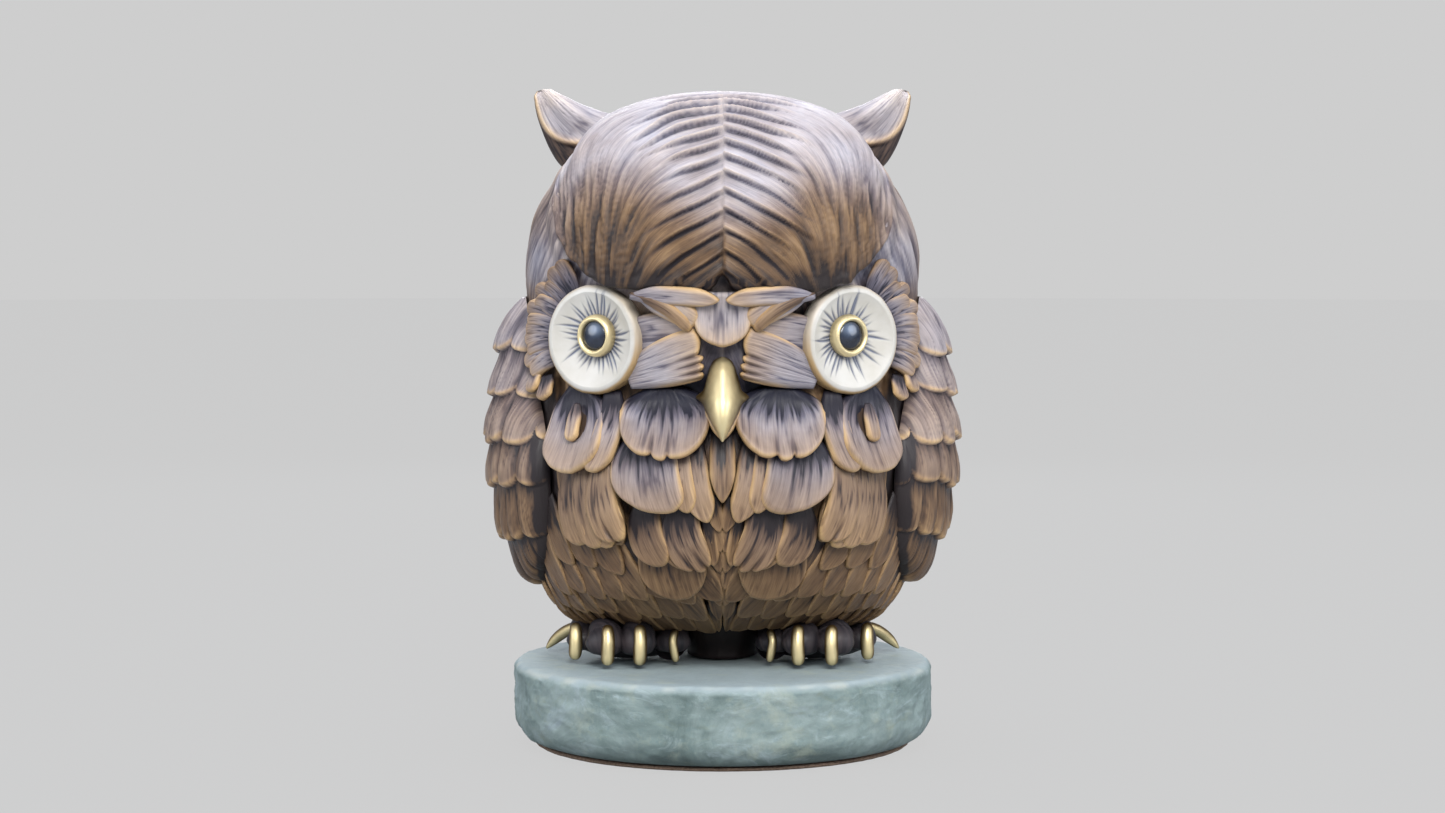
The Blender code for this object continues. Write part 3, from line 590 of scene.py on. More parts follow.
def old_gold(name, pale, deep, rough):
    """Rubbed brass: brighter where hands reach it and, on the beak and claws, where a painted highlight lies
    on their fronts; darker and warmer in the hollows, and with painted shade at their sides.
    """
    n = Nodes(name)
    cloud = n.noise(n.place(), 160.0, 4.0)
    # The tone attribute: rubbing, and on the beak and claws a painted highlight in front and painted shade at
    # the sides.
    rub_and_highlight = n.attribute("tone")
    blotches = n.math("MULTIPLY", n.math("SUBTRACT", cloud, 0.5), 0.5)
    pale_amount = n.math("ADD", rub_and_highlight, blotches, clamp=True)
    colour = n.colours(pale_amount, (0.1, deep), (0.7, pale))
    return n.set(Base_Color=colour, Metallic=0.85, Roughness=n.span(cloud, 0.3, 0.7, rough, rough + 0.14),
                 Normal=n.bump(cloud, 0.15, 0.2))


def black_glass():
    n = Nodes("pupil_glass")
    swirl = n.noise(n.place(), 260.0, 2.0)
    colour = n.colours(swirl, (0.35, (0.006, 0.007, 0.012)), (0.75, (0.016, 0.022, 0.04)))
    # The tone attribute is a painted highlight, a paler bluish patch on the upper inner side.
    colour = n.mix(n.attribute("tone"), colour, (0.11, 0.145, 0.21))
    return n.set(Base_Color=colour, Roughness=0.16)


def green_stone():
    """Mottled green-grey stone with a painted pale bluish sheen on top, as the sky's reflection, and worn
    cream along its edges.
    """
    n = Nodes("green_stone")
    place = n.place()
    big = n.noise(place, 38.0, 8.0, 0.68, 0.9)
    fine = n.noise(place, 520.0, 4.0, 0.6)
    streak = n.noise(n.scaled(place, (1.0, 1.0, 2.4)), 62.0, 8.0, 0.72, 1.2)
    colour = n.colours(big, (0.30, (0.085, 0.120, 0.116)), (0.46, (0.142, 0.190, 0.184)),
                       (0.60, (0.195, 0.248, 0.243)), (0.72, (0.235, 0.290, 0.315)))
    pale = n.span(streak, 0.53, 0.72, 0.0, 0.75)
    colour = n.mix(pale, colour, (0.30, 0.37, 0.385))
    colour = n.mix(n.span(streak, 0.30, 0.42, 0.5, 0.0), colour, (0.16, 0.19, 0.14))
    colour = n.mix(n.span(fine, 0.32, 0.45, 0.30, 0.0), colour, (0.10, 0.16, 0.17))
    # A painted sheen: the top is painted paler and bluer, as the sky's reflection on it.
    colour = n.mix(n.attribute("haze"), colour, (0.27, 0.325, 0.345))
    colour = n.mix(n.span(n.noise(place, 95.0, 6.0, 0.7), 0.54, 0.68, 0.0, 0.40), colour, (0.30, 0.33, 0.26))
    colour = n.mix(n.attribute("tone"), colour, (0.44, 0.45, 0.40))
    normal = n.bump(fine, 0.5, 0.3, n.bump(big, 0.5, 1.0))
    return n.set(Base_Color=colour, Roughness=n.span(fine, 0.3, 0.7, 0.68, 0.88), Normal=normal,
                 Specular_IOR_Level=0.25)


def felt():
    n = Nodes("base_felt")
    fuzz = n.noise(n.place(), 1500.0, 4.0)
    colour = n.colours(fuzz, (0.3, (0.10, 0.065, 0.045)), (0.7, (0.24, 0.165, 0.12)))
    return n.set(Base_Color=colour, Roughness=0.95, Normal=n.bump(fuzz, 0.8, 0.3))


# ---------- the core: body and crown ----------

CELL_TURN = 0.45  # pitch of the body's grid of strands round it, in degrees


def body_strands(azimuth, z):
    """Fine strands and coarser locks over the bare body, swept out on the belly and down from the temples."""
    turn_cells = np.arange(-180, 181, CELL_TURN)
    z_cells = np.arange(BODY_BOTTOM - 3, BODY_HIGH[2] + 3, CELL)
    s, height = np.meshgrid(turn_cells / 180 * math.pi * ARC, z_cells)
    lean = 34 * (1 - ramp(height, 60, 110)) * (1 - ramp(np.abs(s), 60, 110)) - 35 * ramp(height, 122, 140)
    angle = np.radians(90 - lean * np.sign(s))
    row, column = (z - z_cells[0]) / CELL, (azimuth - turn_cells[0]) / CELL_TURN
    return (sample(combed(angle, seed, reach, wide), row, column)
            for seed, reach, wide in ((40, 8.0, 0.9), (41, 14.0, 3.2)))


def make_core(material):
    """The belly and the head under the feathers, closed all round, combed into fine strands."""
    patch = Patch()
    azimuth = np.linspace(-180, 180, 420, endpoint=False)[None, :]
    low = np.linspace(BODY_BOTTOM + 0.01, HEAD_MIDDLE, 170)
    high = HEAD_MIDDLE + HEAD_RISE * np.sin(np.linspace(0, math.radians(89.5), 60))[1:]
    azimuth, z = np.broadcast_arrays(azimuth, np.concatenate([low, high])[:, None])
    fine, coarse = body_strands(azimuth, z)
    around = np.abs(azimuth)
    temple = ramp(z, 124, 138)
    below_crown = crown_edge(np.minimum(around, 180))[0] - z
    swell = 1.9 * (1 - ramp(np.abs(below_crown), 1, 11)) * ramp(around, 44, 57)
    bridge = (1 - ramp(around, 4, 11)) * ramp(z, 104, 110) * (1 - ramp(z, 119, 126))
    points = on_body(azimuth, z, swell + 4.2 * bridge - 0.1 - 0.35 * (1 - fine) - 0.9 * (1 - coarse))

    # Painted shade: darker in a strip behind the wing's front edge and on the face round the beak, less on
    # the raised bridge above it; the temples are a little lighter.
    wing_gap_shade = np.exp(-((around - wing_edges(z)[0] + 4) / 7) ** 2)
    face = (1 - ramp(around, 14, 26)) * ramp(z, 84, 100) * (1 - ramp(z, 124, 134))
    tone = 0.30 + 0.40 * (fine - 0.5) + 0.35 * (coarse - 0.5) + 0.12 * temple
    tone = tone - (0.45 - 0.30 * ramp(z, 108, 114)) * face + 0.27 * bridge
    tone = tone - 0.9 * wing_gap_shade * ramp(z, 44, 54) * (1 - ramp(z, 98, 112))
    # A painted bluish sheen on the temples and the face, less towards the top and the sides.
    upper, sideways = 1 - 0.35 * ramp(z, 144, 154), 1.1 - 0.65 * ramp(around, 68, 100)
    cloudy = 0.85 + 0.3 * (noise(azimuth * 0.15, z * 0.1, 4) - 0.5)
    painted_sheen = (temple * upper * sideways + face) * cloudy
    s = azimuth / 180 * math.pi * ARC
    strand = np.stack([s * 0.8 + z * 0.3 * np.sign(s), z, np.full_like(s, 7.3)], -1)
    index = patch.add_points(points, tone, painted_sheen, strand)
    patch.add_grid(index, wrap=True)
    for end, height in ((0, BODY_BOTTOM), (-1, BODY_HIGH[2])):
        middle = patch.add_points(np.array([[0.0, 0.0, height]]), 0.1, 0.0, np.zeros(3))
        patch.add_cap(index[end], middle[0], flip=end == 0)
    add_rest(patch)
    patch.build("body_core", material, ["body"])


def add_rest(patch):
    """The rippled block that carries the body on the stone, painted near black as the shade under the belly,
    and wider than the CAD's at its top so that it fills that shade.
    """
    turn = full_turn(64)
    heights = np.linspace(BODY_LOW[2] + 0.05, BODY_BOTTOM + 4, 12)[:, None]
    flare = 1.28 + 0.45 * ramp(heights, BODY_BOTTOM - 7, BODY_BOTTOM + 3)
    ripple = 1 - 0.05 * grooves(turn * 6, heights * 0.2, 9)
    rings = np.stack([REST_SIZES[0] * flare * ripple * np.cos(turn),
                      REST_MIDDLE + REST_SIZES[1] * flare * ripple * np.sin(turn), heights + 0 * turn], -1)
    # Tone 0 paints the block as the shade between the feet.
    loft(patch, rings, 0.0, 0.0, np.zeros(3))


GLOBE = 52.0  # the crown's mean radius, which turns its angles into lengths
CHEVRON_PITCH = 5.2
CROWN_OUT = np.arange(0, 84, CELL)
CROWN_DOWN = np.arange(0, 172, CELL)


def traced(angle):
    """Where each cell's strand starts, down the parting or out along the top, and how far off that is."""
    rows, columns = angle.shape
    y, x = np.mgrid[0:rows, 0:columns].astype(float)
    travelled = np.zeros_like(x)
    reach, stride = 110.0, 0.8
    step = stride / CELL
    for _ in range(int(reach / stride)):
        row, column = np.rint(y).astype(int), np.rint(x).astype(int)
        going = (x > 0.5) & (y > 0.5)
        x = np.where(going, np.clip(x - step * np.cos(angle[row, column]), 0, columns - 1), x)
        y = np.where(going, np.clip(y - step * np.sin(angle[row, column]), 0, rows - 1), y)
        travelled += going * stride
    return (y - x) * CELL, travelled


def crown_field(seed):
    """One half of the crown, flattened: out is the arc from the parting, down the arc from the head's top.

    Chevron feathers leave the parting, each with a sharp lower edge. They break up into combed locks,
    which turn downwards towards the sides.
    """
    out, down = np.meshgrid(CROWN_OUT, CROWN_DOWN)
    start = np.radians(11 + 15 * ramp(down, 22, 45) + 14 * ramp(down, 66, 90))
    turn = ramp(out, 8 + 12 * (1 - ramp(down, 5, 45)), 34 + 24 * (1 - ramp(down, 10, 60)))
    angle = start + (math.radians(86) - start) * turn
    hair = combed(angle, seed, 7.0, 0.7)
    locks = combed(angle, seed + 1, 10.0, 1.5)
    start_at, travelled = traced(angle)

    flow = down - np.tan(start) * out + 0.0015 * out ** 2
    wander = 3.0 * (noise(out * 0.09, flow * 0.13, seed + 2) - 0.5)
    phase = (flow + wander * ramp(out, 0, 12)) / CHEVRON_PITCH + seed * 0.37
    number = np.floor(phase)
    saw = phase - number
    reach = 11 + 14 * hashed(number.astype(np.int64) + 90, np.full(number.shape, seed), seed)
    near = (1 - ramp(out, reach - 7, reach + 4)) * ramp(down, 8, 26)
    step = np.where(saw < 0.90, (saw / 0.90) ** 2.2, np.clip((1 - saw) / 0.10, 0, 1))
    # Painted shadow in a band just below each chevron's sharp lower edge.
    under = (1 - ramp(saw, 0.03, 0.15) * (1 - ramp(saw, 0.95, 0.99))) * ramp(out, 0.3, 1.6)
    crest = near * np.exp(-((saw - 0.87) / 0.05) ** 2)
    return near, step, near * under, crest, hair, locks, start_at, travelled


def make_crown(material):
    """The crown is one closed shell: its lip turns under over the brow, and its inside follows the head."""
    patch = Patch()
    columns, climb_span, inside_rows = 520, 55.0, 14
    turn = np.linspace(-1, 1, columns, endpoint=False)
    azimuth = (180 * (0.70 * turn + 0.30 * turn ** 3))[None, :]  # closer together over the brow
    edge = crown_edge(np.abs(azimuth))[0]
    ragged = 1.6 * (noise(azimuth * 0.28, 0, 2) - 0.5) * ramp(np.abs(azimuth), 2, 8)
    low = np.arcsin(np.clip((edge + ragged - HEAD_MIDDLE) / HEAD_RISE, -0.5, 1))
    top = math.radians(88.8)
    rows = np.linspace(0, 1, 176)[:, None]
    z = HEAD_MIDDLE + HEAD_RISE * np.sin(low + (top - low) * rows)
    azimuth, rows = np.broadcast_arrays(azimuth, rows * np.ones_like(z))
    proud = crown_proud(azimuth, z)
    bare = on_body(azimuth, z, proud)
    x, y, up = bare[..., 0], bare[..., 1], bare[..., 2] - HEAD_MIDDLE
    out = GLOBE * np.arctan2(np.abs(x), np.hypot(y, up))
    down = GLOBE * np.abs(np.arctan2(-y, up))
    left, right = ([sample(f, down / CELL, out / CELL) for f in crown_field(seed)] for seed in (21, 34))
    fields = (np.where(x > 0, a, b) for a, b in zip(left, right))
    near, step, dark, crest, hair, locks, start_at, along = fields

    around, level = np.abs(azimuth), bare[..., 2]
    # A painted highlight: the top of the head is painted paler and bluer, as if lit from above.
    paling = level + 9.0 * (1 - ramp(out, 3, 26)) + 5.0 * (noise(azimuth * 0.12, z * 0.08, 6) - 0.5)
    pale = ramp(paling, 153, 172)
    combing = (1 - near) * (1 - 0.72 * pale)
    height = 2.3 * near * (step - 0.55) - combing * (1.3 * (1 - locks) + 0.6 * (1 - hair))
    parting = np.exp(-(out / 0.6) ** 2) * (1 - 0.8 * ramp(level, 160, 172))
    height = height - 0.2 * (1 - hair) - 0.4 * parting
    climb = rows * climb_span
    lip = rounded_edge(climb, 3.2)
    points = on_body(azimuth, z, proud * (0.55 + 0.45 * lip) + height * ramp(climb, 0, 2.5))

    # Painted shade in the grooves between the locks, under the chevrons' edges and under the lip over the
    # brow, and a painted bluish sheen on the top and the lower sides; the crown also turns slightly darker
    # towards the brim.
    thin = combing * (0.55 * ramp(0.40 - locks, 0, 0.22) + 0.45 * ramp(0.40 - hair, 0, 0.2))
    side_edge = ramp(around, 42, 54) * (1 - ramp(climb, 4, 20))
    brow_edge = (1 - ramp(climb, 0, 6)) * (1 - ramp(around, 38, 50))
    painted_sheen = np.clip(pale + 0.45 * dark + 0.4 * side_edge, 0, 1) * (1 - 0.3 * crest)
    tone = 0.30 + 0.29 * pale - 0.50 * dark - 0.24 * thin + (0.20 - 0.04 * pale) * crest
    tone += (1 - 0.55 * pale) * (0.27 * (hair - 0.5) + 0.20 * (locks - 0.5))
    tone -= 0.25 * brow_edge
    tone += 0.08 * side_edge - 0.03 * (1 - ramp(z, 138, 150))
    grain = np.stack([start_at, along, np.where(x > 0, 1.0, 9.0)], -1)
    outer = patch.add_points(points, tone, painted_sheen, grain)

    inner_rows = np.linspace(0, 1, inside_rows)[:, None]
    z_in = HEAD_MIDDLE + HEAD_RISE * np.sin(low + 0.02 + (top - low) * inner_rows)
    lining = on_body(azimuth[:inside_rows], z_in, 0.05)
    inner = patch.add_points(lining, 0.1, 0.0, grain[:inside_rows])
    patch.add_grid(np.concatenate([inner[::-1], outer]), wrap=True)
    for row, height, flip in ((inner[-1], BODY_HIGH[2], True), (outer[-1], points[-1, :, 2].mean(), False)):
        middle = patch.add_points(np.array([[0.0, 0.0, height]]), 0.5, 1.0, grain[0, 0])
        patch.add_cap(row, middle[0], flip=flip)
    patch.build("crown_carving", material, ["crown"])


# ---------- feathers ----------

def spot(node, across, up, proud=5.0):
    """(s, z) of a place in a left-hand node's box: across from its inner side out, up from its foot."""
    low, high = box_mm(node)
    x, z = low[0] + across * (high[0] - low[0]), low[2] + up * (high[2] - low[2])
    return float(arc_at(x, z, proud)), z


RUFFLE = dict(thick=3.2, rounding=0.95, groove=0.26, spacing=1.7, fan=1.0)  # the broad bluish feathers
GOLDEN = dict(lift=2.7, thick=2.2, haze=0.15, rounding=1.3, edge=0.34, tone=0.49, shade=0.05)
NARROW = dict(haze=0.30, thick=2.0, spacing=0.9)
BROWN = dict(tone=0.35, rounding=1.5)

# For each leaf of the breast: the feathers it is carved into. Each is root across and up and tip across and
# up in the leaf's box, half width in mm, and how it differs from a plain feather.
LEAVES = {
    "ruff_inner": [
        (0.43, 1.20, 0.40, -0.20, 12.0, dict(
            RUFFLE, cuts=(-0.10, 0.24), notch=1.7, seat=0.6, lift=5.4, lift_power=2.4, dish=1.6, haze=1.0,
            rounding=0.90, root_share=0.35, shade=0.80, tone=0.49, edge=0.42, size=(72, 48))),
    ],
    "ruff_outer": [
        (0.15, 1.20, 0.34, -0.05, 4.3, dict(
            bend=-1.8, seat=1.0, lift=3.6, thick=2.4, haze=0.75, rounding=1.4, shade=0.8, tone=0.50)),
        (0.60, 1.30, 0.62, -0.08, 9.9, dict(
            RUFFLE, seat=0.8, lift=4.8, lift_power=2.0, dish=2.0, haze=0.95, root_share=0.30, shade=0.72,
            tone=0.48, edge=0.44, size=(52, 48))),
        (0.58, 0.92, 0.62, 0.36, 2.3, dict(
            seat=3.4, lift=0.9, lift_power=1.0, thick=1.7, haze=0.6, rounding=1.2, root_share=0.4, shade=0.4,
            tone=0.56)),
    ],
    "breast_inner": [
        (0.14, 1.16, -0.06, -0.02, 3.9, dict(NARROW, bend=1.4, seat=0.5, lift=2.6, rounding=1.7, point=1.5)),
        (0.31, 1.16, 0.17, 0.11, 3.4, dict(NARROW, bend=1.0, seat=0.8, lift=2.7, rounding=1.5, point=1.6)),
        (0.70, 1.16, 0.55, 0.11, 9.2, dict(
            RUFFLE, bend=2.0, seat=1.1, lift=3.4, thick=2.8, dish=0.8, haze=0.85, skew=0.12, root_share=0.50,
            shade=0.72, tone=0.47, edge=0.40, size=(60, 44))),
    ],
    "breast_outer": [
        (0.84, 0.99, 0.54, 0.02, 4.9, dict(GOLDEN, bend=2.6, seat=0.9)),
        (0.63, 0.99, 0.30, 0.01, 4.2, dict(GOLDEN, bend=2.3, seat=1.3)),
        (0.46, 0.95, 0.15, 0.02, 3.5, dict(GOLDEN, bend=2.0, seat=1.5, lift=2.5, thick=2.0)),
        (0.33, 1.02, -0.02, 0.10, 5.1, dict(
            GOLDEN, bend=2.6, seat=2.0, lift=2.8, thick=2.4, cuts=(0.1,), notch=0.9, size=(36, 34))),
    ],
    "belly_inner": [
        (0.08, 0.90, -0.04, 0.13, 2.0, dict(
            BROWN, seat=0.5, lift=1.8, thick=1.6, rounding=1.8, point=1.5, spacing=0.8)),
        (0.58, 1.00, 0.31, 0.09, 4.4, dict(BROWN, bend=1.4, seat=0.5, lift=2.2, thick=1.9, point=1.6)),
        (0.88, 1.05, 0.60, 0.16, 5.1, dict(BROWN, bend=2.4, seat=0.9, lift=2.6, thick=2.2, haze=0.15)),
        (0.40, 1.06, 0.07, 0.09, 5.5, dict(
            BROWN, bend=2.8, tone=0.36, seat=1.2, lift=2.6, thick=2.2, haze=0.20, rounding=1.3,
            cuts=(-0.25, 0.30), notch=1.3, size=(48, 36))),
    ],
    "belly_hem": [
        (0.58, 1.32, 0.40, 0.19, 9.8, dict(
            bend=1.4, seat=0.5, lift=2.0, thick=1.9, rounding=1.0, tone=0.40, edge=0.22, groove=0.38,
            size=(44, 40), spacing=0.95, shade=0.35)),
    ],
}
# The mask round the beak: brow and cheek fan. Places are in each leaf's box, as above.
MASK = {
    "cheek_fan": [
        (1.55, 0.98, -0.02, 1.26, 7.2, dict(
            seat=1.4, lift=2.9, thick=2.2, rounding=0.5, root_share=0.7, haze=1.0, tone=0.56, edge=0.1,
            groove=0.2, size=(40, 40), lift_power=0.8, spacing=1.5)),
        (1.42, 0.22, -0.11, 0.86, 7.9, dict(
            seat=2.2, lift=4.0, thick=2.4, rounding=0.12, root_share=0.45, haze=1.0, cuts=(0.06, 0.34, 0.66),
            notch=1.5, groove=0.2, size=(84, 44), full_at=0.95, lift_power=0.8, shade=0.0, skew=0.10,
            spacing=1.5)),
    ],
    "brow": [
        (1.16, 1.04, 0.02, 0.42, 3.6, dict(
            bend=-0.9, seat=5.2, lift=0.8, thick=2.4, rounding=0.9, haze=1.0, root_share=0.15, edge=0.25)),
        (1.26, 1.08, 0.13, 0.26, 2.1, dict(
            bend=-2.0, seat=5.9, lift=0.8, thick=2.8, rounding=1.6, haze=0.15, tone=0.42, lift_power=1.0,
            root_share=0.12, size=(24, 40))),
        (1.26, 1.00, -0.39, 0.97, 2.6, dict(
            bend=-0.7, seat=6.0, lift=1.4, thick=2.2, rounding=2.3, point=1.5, haze=1.0, root_share=0.25,
            full_at=0.5, edge=0.25, size=(28, 44))),
    ],
}


def carve_leaves(leaves, material, seed_of, **plain):
    """Both sides' leaves from a table of feathers. plain is what a plain feather of the table is like."""
    for side, hand in SIDES:
        for number, (leaf, feathers) in enumerate(leaves.items()):
            patch = Patch()
            node = f"{leaf}_left"
            for k, (root_x, root_z, tip_x, tip_z, half_width, extra) in enumerate(feathers):
                settings = {**plain, **extra, "seed": seed_of(number, k, side)}
                root, tip = spot(node, root_x, root_z), spot(node, tip_x, tip_z)
                petal(patch, body_place(side), root, tip, half_width, **settings)
            patch.build(f"{leaf}_{hand}_carving", material, [f"{leaf}_{hand}"])


def make_leaves(material):
    carve_leaves(LEAVES, material, lambda number, k, side: 11 * number + 3 * k + (50 if side < 0 else 0),
                 groove=0.24, tone=0.52, edge=0.34)
    carve_leaves(MASK, material, lambda number, k, side: 200 + 7 * number + 3 * k + side,
                 groove=0.22, spacing=1.15, tone=0.60, shade=0.12, lift_power=1.2, root_share=0.8, fan=0.8)


def centre_line(leaf, *shares):
    """Places on the owl's middle line, at these shares of the height of the leaf's box."""
    low, high = box_mm(leaf)
    return [(0.0, low[2] + share * (high[2] - low[2])) for share in shares]


def make_middle(material):
    """The face shield between the brows, and the chin feather under the beak, with a short collar over it."""
    place = body_place()
    shield = Patch()
    petal(shield, place, *centre_line("face_shield", 1.10, -0.01), 7.1, seat=4.6, lift=2.6, thick=3.0,
          dish=0.6, haze=1.0, rounding=1.2, point=1.7, root_share=0.95, groove=0.24, spacing=1.6, shade=-0.1,
          edge=0.3, tone=0.63, seed=82, size=(44, 40))
    shield.build("face_shield_carving", material, ["face_shield"])
    chin = Patch()
    petal(chin, place, *centre_line("chin_feather", 1.00, -0.04), 3.3, seat=1.6, lift=1.6, thick=2.2,
          haze=0.15, rounding=2.4, point=1.4, groove=0.24, tone=0.38, seed=77)
    top = box_mm("chin_feather")[1][2]
    petal(chin, place, (0.0, top + 4.0), (0.0, top - 5.2), 4.4, seat=3.0, lift=1.8, thick=2.2, rounding=1.7,
          point=1.5, haze=0.8, groove=0.15, seed=78)
    chin.build("chin_feather_carving", material, ["chin_feather"])


EYE_PLACE = np.array([35.0, 119.0])  # the eye's middle, as a place on the body
# Height and azimuth of the middle of the ruffled band outside each eye
BAND_LINE = spline(((101.5, 57.5), (109.0, 65.0), (122.0, 66.5), (136.0, 61.5), (148.4, 47.5)))
BAND_FEATHERS = 12


def make_bands(material):
    """The ruffled band: feathers fanned out from the eye, flatter higher up, and two loose ones below."""
    low, high = box_mm("cheek_band_left")
    for side, hand in SIDES:
        place = body_place(side)
        patch = Patch()
        for k in range(BAND_FEATHERS):
            z = high[2] - 4.5 - k * (high[2] - low[2] - 13.5) / (BAND_FEATHERS - 1)
            edge = np.array([math.radians(BAND_LINE(z)[0]) * ARC, z])
            high_up = float(ramp(z, 124, 140))
            out = (edge - EYE_PLACE) * (1.0 + 0.05 * math.sin(k * 2.7) - 0.10 * high_up)
            petal(patch, place, EYE_PLACE + 0.55 * out, EYE_PLACE + 1.04 * out - [0, 1.5],
                  2.7 + 0.4 * math.sin(k * 1.9), bend=0.9, root_share=0.55, rounding=1.0, arch=0.4,
                  seat=0.5 - 0.2 * high_up, lift=2.0 - 1.5 * high_up, lift_power=0.9, groove=0.2,
                  thick=1.6 - 0.5 * high_up, haze=0.90, tone=0.52 - 0.10 * high_up,
                  edge=0.26 * (1 - high_up), shade=0.25, size=(24, 34), seed=300 + k + side)
        for azimuth, z, lean in ((65.0, 111.0, -0.8), (58.5, 108.6, -1.2)):
            s = math.radians(azimuth) * ARC
            petal(patch, place, (s, z), (s + lean, z - 8.0), 3.3, seat=1.6, lift=1.8, thick=2.4, rounding=1.0,
                  haze=0.6, groove=0.2, size=(24, 26), seed=320 + int(z), root_share=0.75)
        patch.build(f"cheek_band_{hand}_carving", material, [f"cheek_band_{hand}"])


# ---------- wings, plumage, tail ----------

# Where each row of flight feathers ends, from the top of the wing down
WING_ROWS = (114.5, 102.5, 89.0, 76.5, 62.5, 48.0, 30.0)
LOBE = 6.4  # width of one flight feather


def flight_rows(s, z, seed):
    """The wing's scalloped rows: height in mm, how deep in shadow, how near a feather's rim, and the row."""
    rng = np.random.default_rng(seed)
    height, shadow, rim, row = (np.zeros_like(s) for _ in range(4))
    ceiling = np.full_like(s, 200.0)
    for number, foot in enumerate(WING_ROWS):
        width = LOBE * (1.0 + 0.06 * (3 - number))
        place = (s + rng.uniform(0, LOBE) + 1.1 * np.sin(s * 0.31 + number)) / width
        lobe = np.floor(place)
        w = 2 * (place - lobe) - 1
        longer = 3.0 * (hashed(lobe.astype(np.int64) + 50, np.full(s.shape, number), seed) - 0.5)
        edge = foot + longer + 3.2 * (1 - np.sqrt(1 - np.minimum(np.abs(w), 0.995) ** 2.2))
        above = z - edge
        split = np.exp(-((1 - np.abs(w)) * LOBE / 2 / 0.55) ** 2) * (1 - ramp(above, 7, 14))
        rounded = np.sqrt(1 - (1 - np.clip(above / 1.3, 0, 1)) ** 2)
        crowned = 0.9 * (1 - w ** 2) * (1 - ramp(above, 5, 14))
        lines = grooves(s / 1.05 + 0.1 * w, above / 1.05 + number * 7.0, seed + number)
        lift = rounded * (0.5 + 1.5 * (1 - ramp(above, 1, 15)) + crowned)
        lift = lift - 0.7 * split * rounded - 0.24 * lines
        dark = 0.75 * np.exp(-np.maximum(ceiling - z, 0) / 2.6) + 0.5 * lines + 0.5 * split
        dark = dark + 0.9 * (1 - ramp(above, 0.0, 0.35))
        near_tip = np.exp(-((above - 0.9) / 0.9) ** 2)
        here = (above >= 0) & (z < ceiling)
        height, shadow, rim, row = (np.where(here, new, old) for new, old in (
            (lift, height), (dark, shadow), (near_tip, rim), (number, row)))
        ceiling = np.minimum(ceiling, edge)
    return height, shadow, rim, row


def make_wing(side, hand, material):
    """A closed, smooth shell, carved into rows of flight feathers that each lie over the row below."""
    patch = Patch()
    u = np.sin(np.linspace(-math.pi / 2, math.pi / 2, 150))[None, :]
    v = np.linspace(0, 1, 300)[:, None]
    z = WING_HIGH[2] + (WING_LOW[2] - WING_HIGH[2]) * (0.003 + 0.994 * v) + 0 * u
    front, back = wing_edges(z)
    azimuth = front + (back - front) * (u + 1) / 2
    end = 1 - np.clip(np.minimum(v, 1 - v) / 0.07, 0, 1)
    closed = (1 - np.abs(u) ** 7) ** 0.5 * (1 - end ** 2) ** 0.5
    s = azimuth / 180 * math.pi * ARC
    height, shadow, rim, row = flight_rows(s, z + 0.03 * (s - 60), 40 + side)
    proud = 0.2 + (0.92 * wing_proud(azimuth, z) + height) * closed
    # Painted shade under each row, in its lines and splits and down the front edge beside the belly, with a
    # painted bluish sheen that is less on lower rows; the rows get darker towards the bottom, and the rims
    # are gilded.
    tone = 0.60 - 0.055 * np.maximum(row - 2, 0) - 0.06 * np.maximum(row - 4, 0) - 0.55 * shadow + 0.30 * rim
    tone = tone - 0.6 * (1 - ramp(u, -0.97, -0.91)) * (row > 2)
    painted_sheen = np.clip((0.85 - 0.20 * row) * (1 - 0.7 * rim), 0, 1)
    strand = np.stack([s, z, np.full_like(z, 3.0) + row], -1)
    upper = patch.add_points(on_body(side * azimuth, z, proud), tone, painted_sheen, strand)
    patch.add_leaf(upper, on_body(side * azimuth, z, np.minimum(0.1, proud - 0.1)), 0.05, strand)
    patch.build(f"wing_{hand}_carving", material, [f"wing_{hand}"])


def scattered_rows(patch, place, rows, span, seed, **settings):
    """Rows of feathers over a stretch of the body, which span(z) gives as two values of s.

    Each row is its tips' height, the feathers' half width and length, and how far they drift to the front.
    """
    rng = np.random.default_rng(seed)
    for number, (z, half_width, long, lean) in enumerate(rows):
        low, high = span(z)
        count = max(2, round((high - low) / (1.5 * half_width)))
        for k in range(count):
            s = low + (high - low) * (k + 0.5 * (number % 2) + 0.25) / count
            jitter = rng.uniform(-1, 1, 4)
            root = (s + jitter[0] * 0.6 + lean, z + long + jitter[1])
            tip = (s - lean + jitter[2] * 0.6, z + 1.2 * jitter[3])
            petal(patch, place, root, tip, half_width * (1 + 0.12 * jitter[1]), seed=seed + 31 * number + k,
                  **settings)


BELLY_ROWS = (
    (36.6, 4.4, 12.0, 5.0), (41.5, 4.8, 16.0, 5.5), (47.5, 5.0, 19.0, 6.0), (55.0, 5.0, 20.0, 5.5),
    (63.5, 4.6, 20.0, 4.0), (73.0, 4.4, 20.0, 2.2),
)
BACK_ROWS = (
    (35.5, 4.6, 9.5, 0.0), (42.0, 5.4, 12.0, 0.0), *((z, 5.6, 14.0, 0.0) for z in (51.5, 62.0, 72.5)),
    (83.0, 5.4, 14.0, 0.0), (93.5, 5.2, 14.0, 0.0), (104.0, 5.0, 13.0, 0.0), (114.0, 4.8, 13.0, 0.0),
    (124.0, 4.6, 13.0, 0.0), (134.0, 4.4, 12.5, 0.0), (143.0, 4.2, 12.0, 0.0),
)
UNDER_WINGS = 46.0  # below this height no wing lies between belly and back
FLANK = 92  # the azimuth at which belly and back meet there
# Height and x of the small feathers down the middle of the belly
MIDDLE_FEATHERS = ((67.5, 0.6), (62.0, 0.5), (56.5, 0.6), (51.5, 0.5), (46.5, 0.6), (41.5, 0.8), (36.5, 1.2))


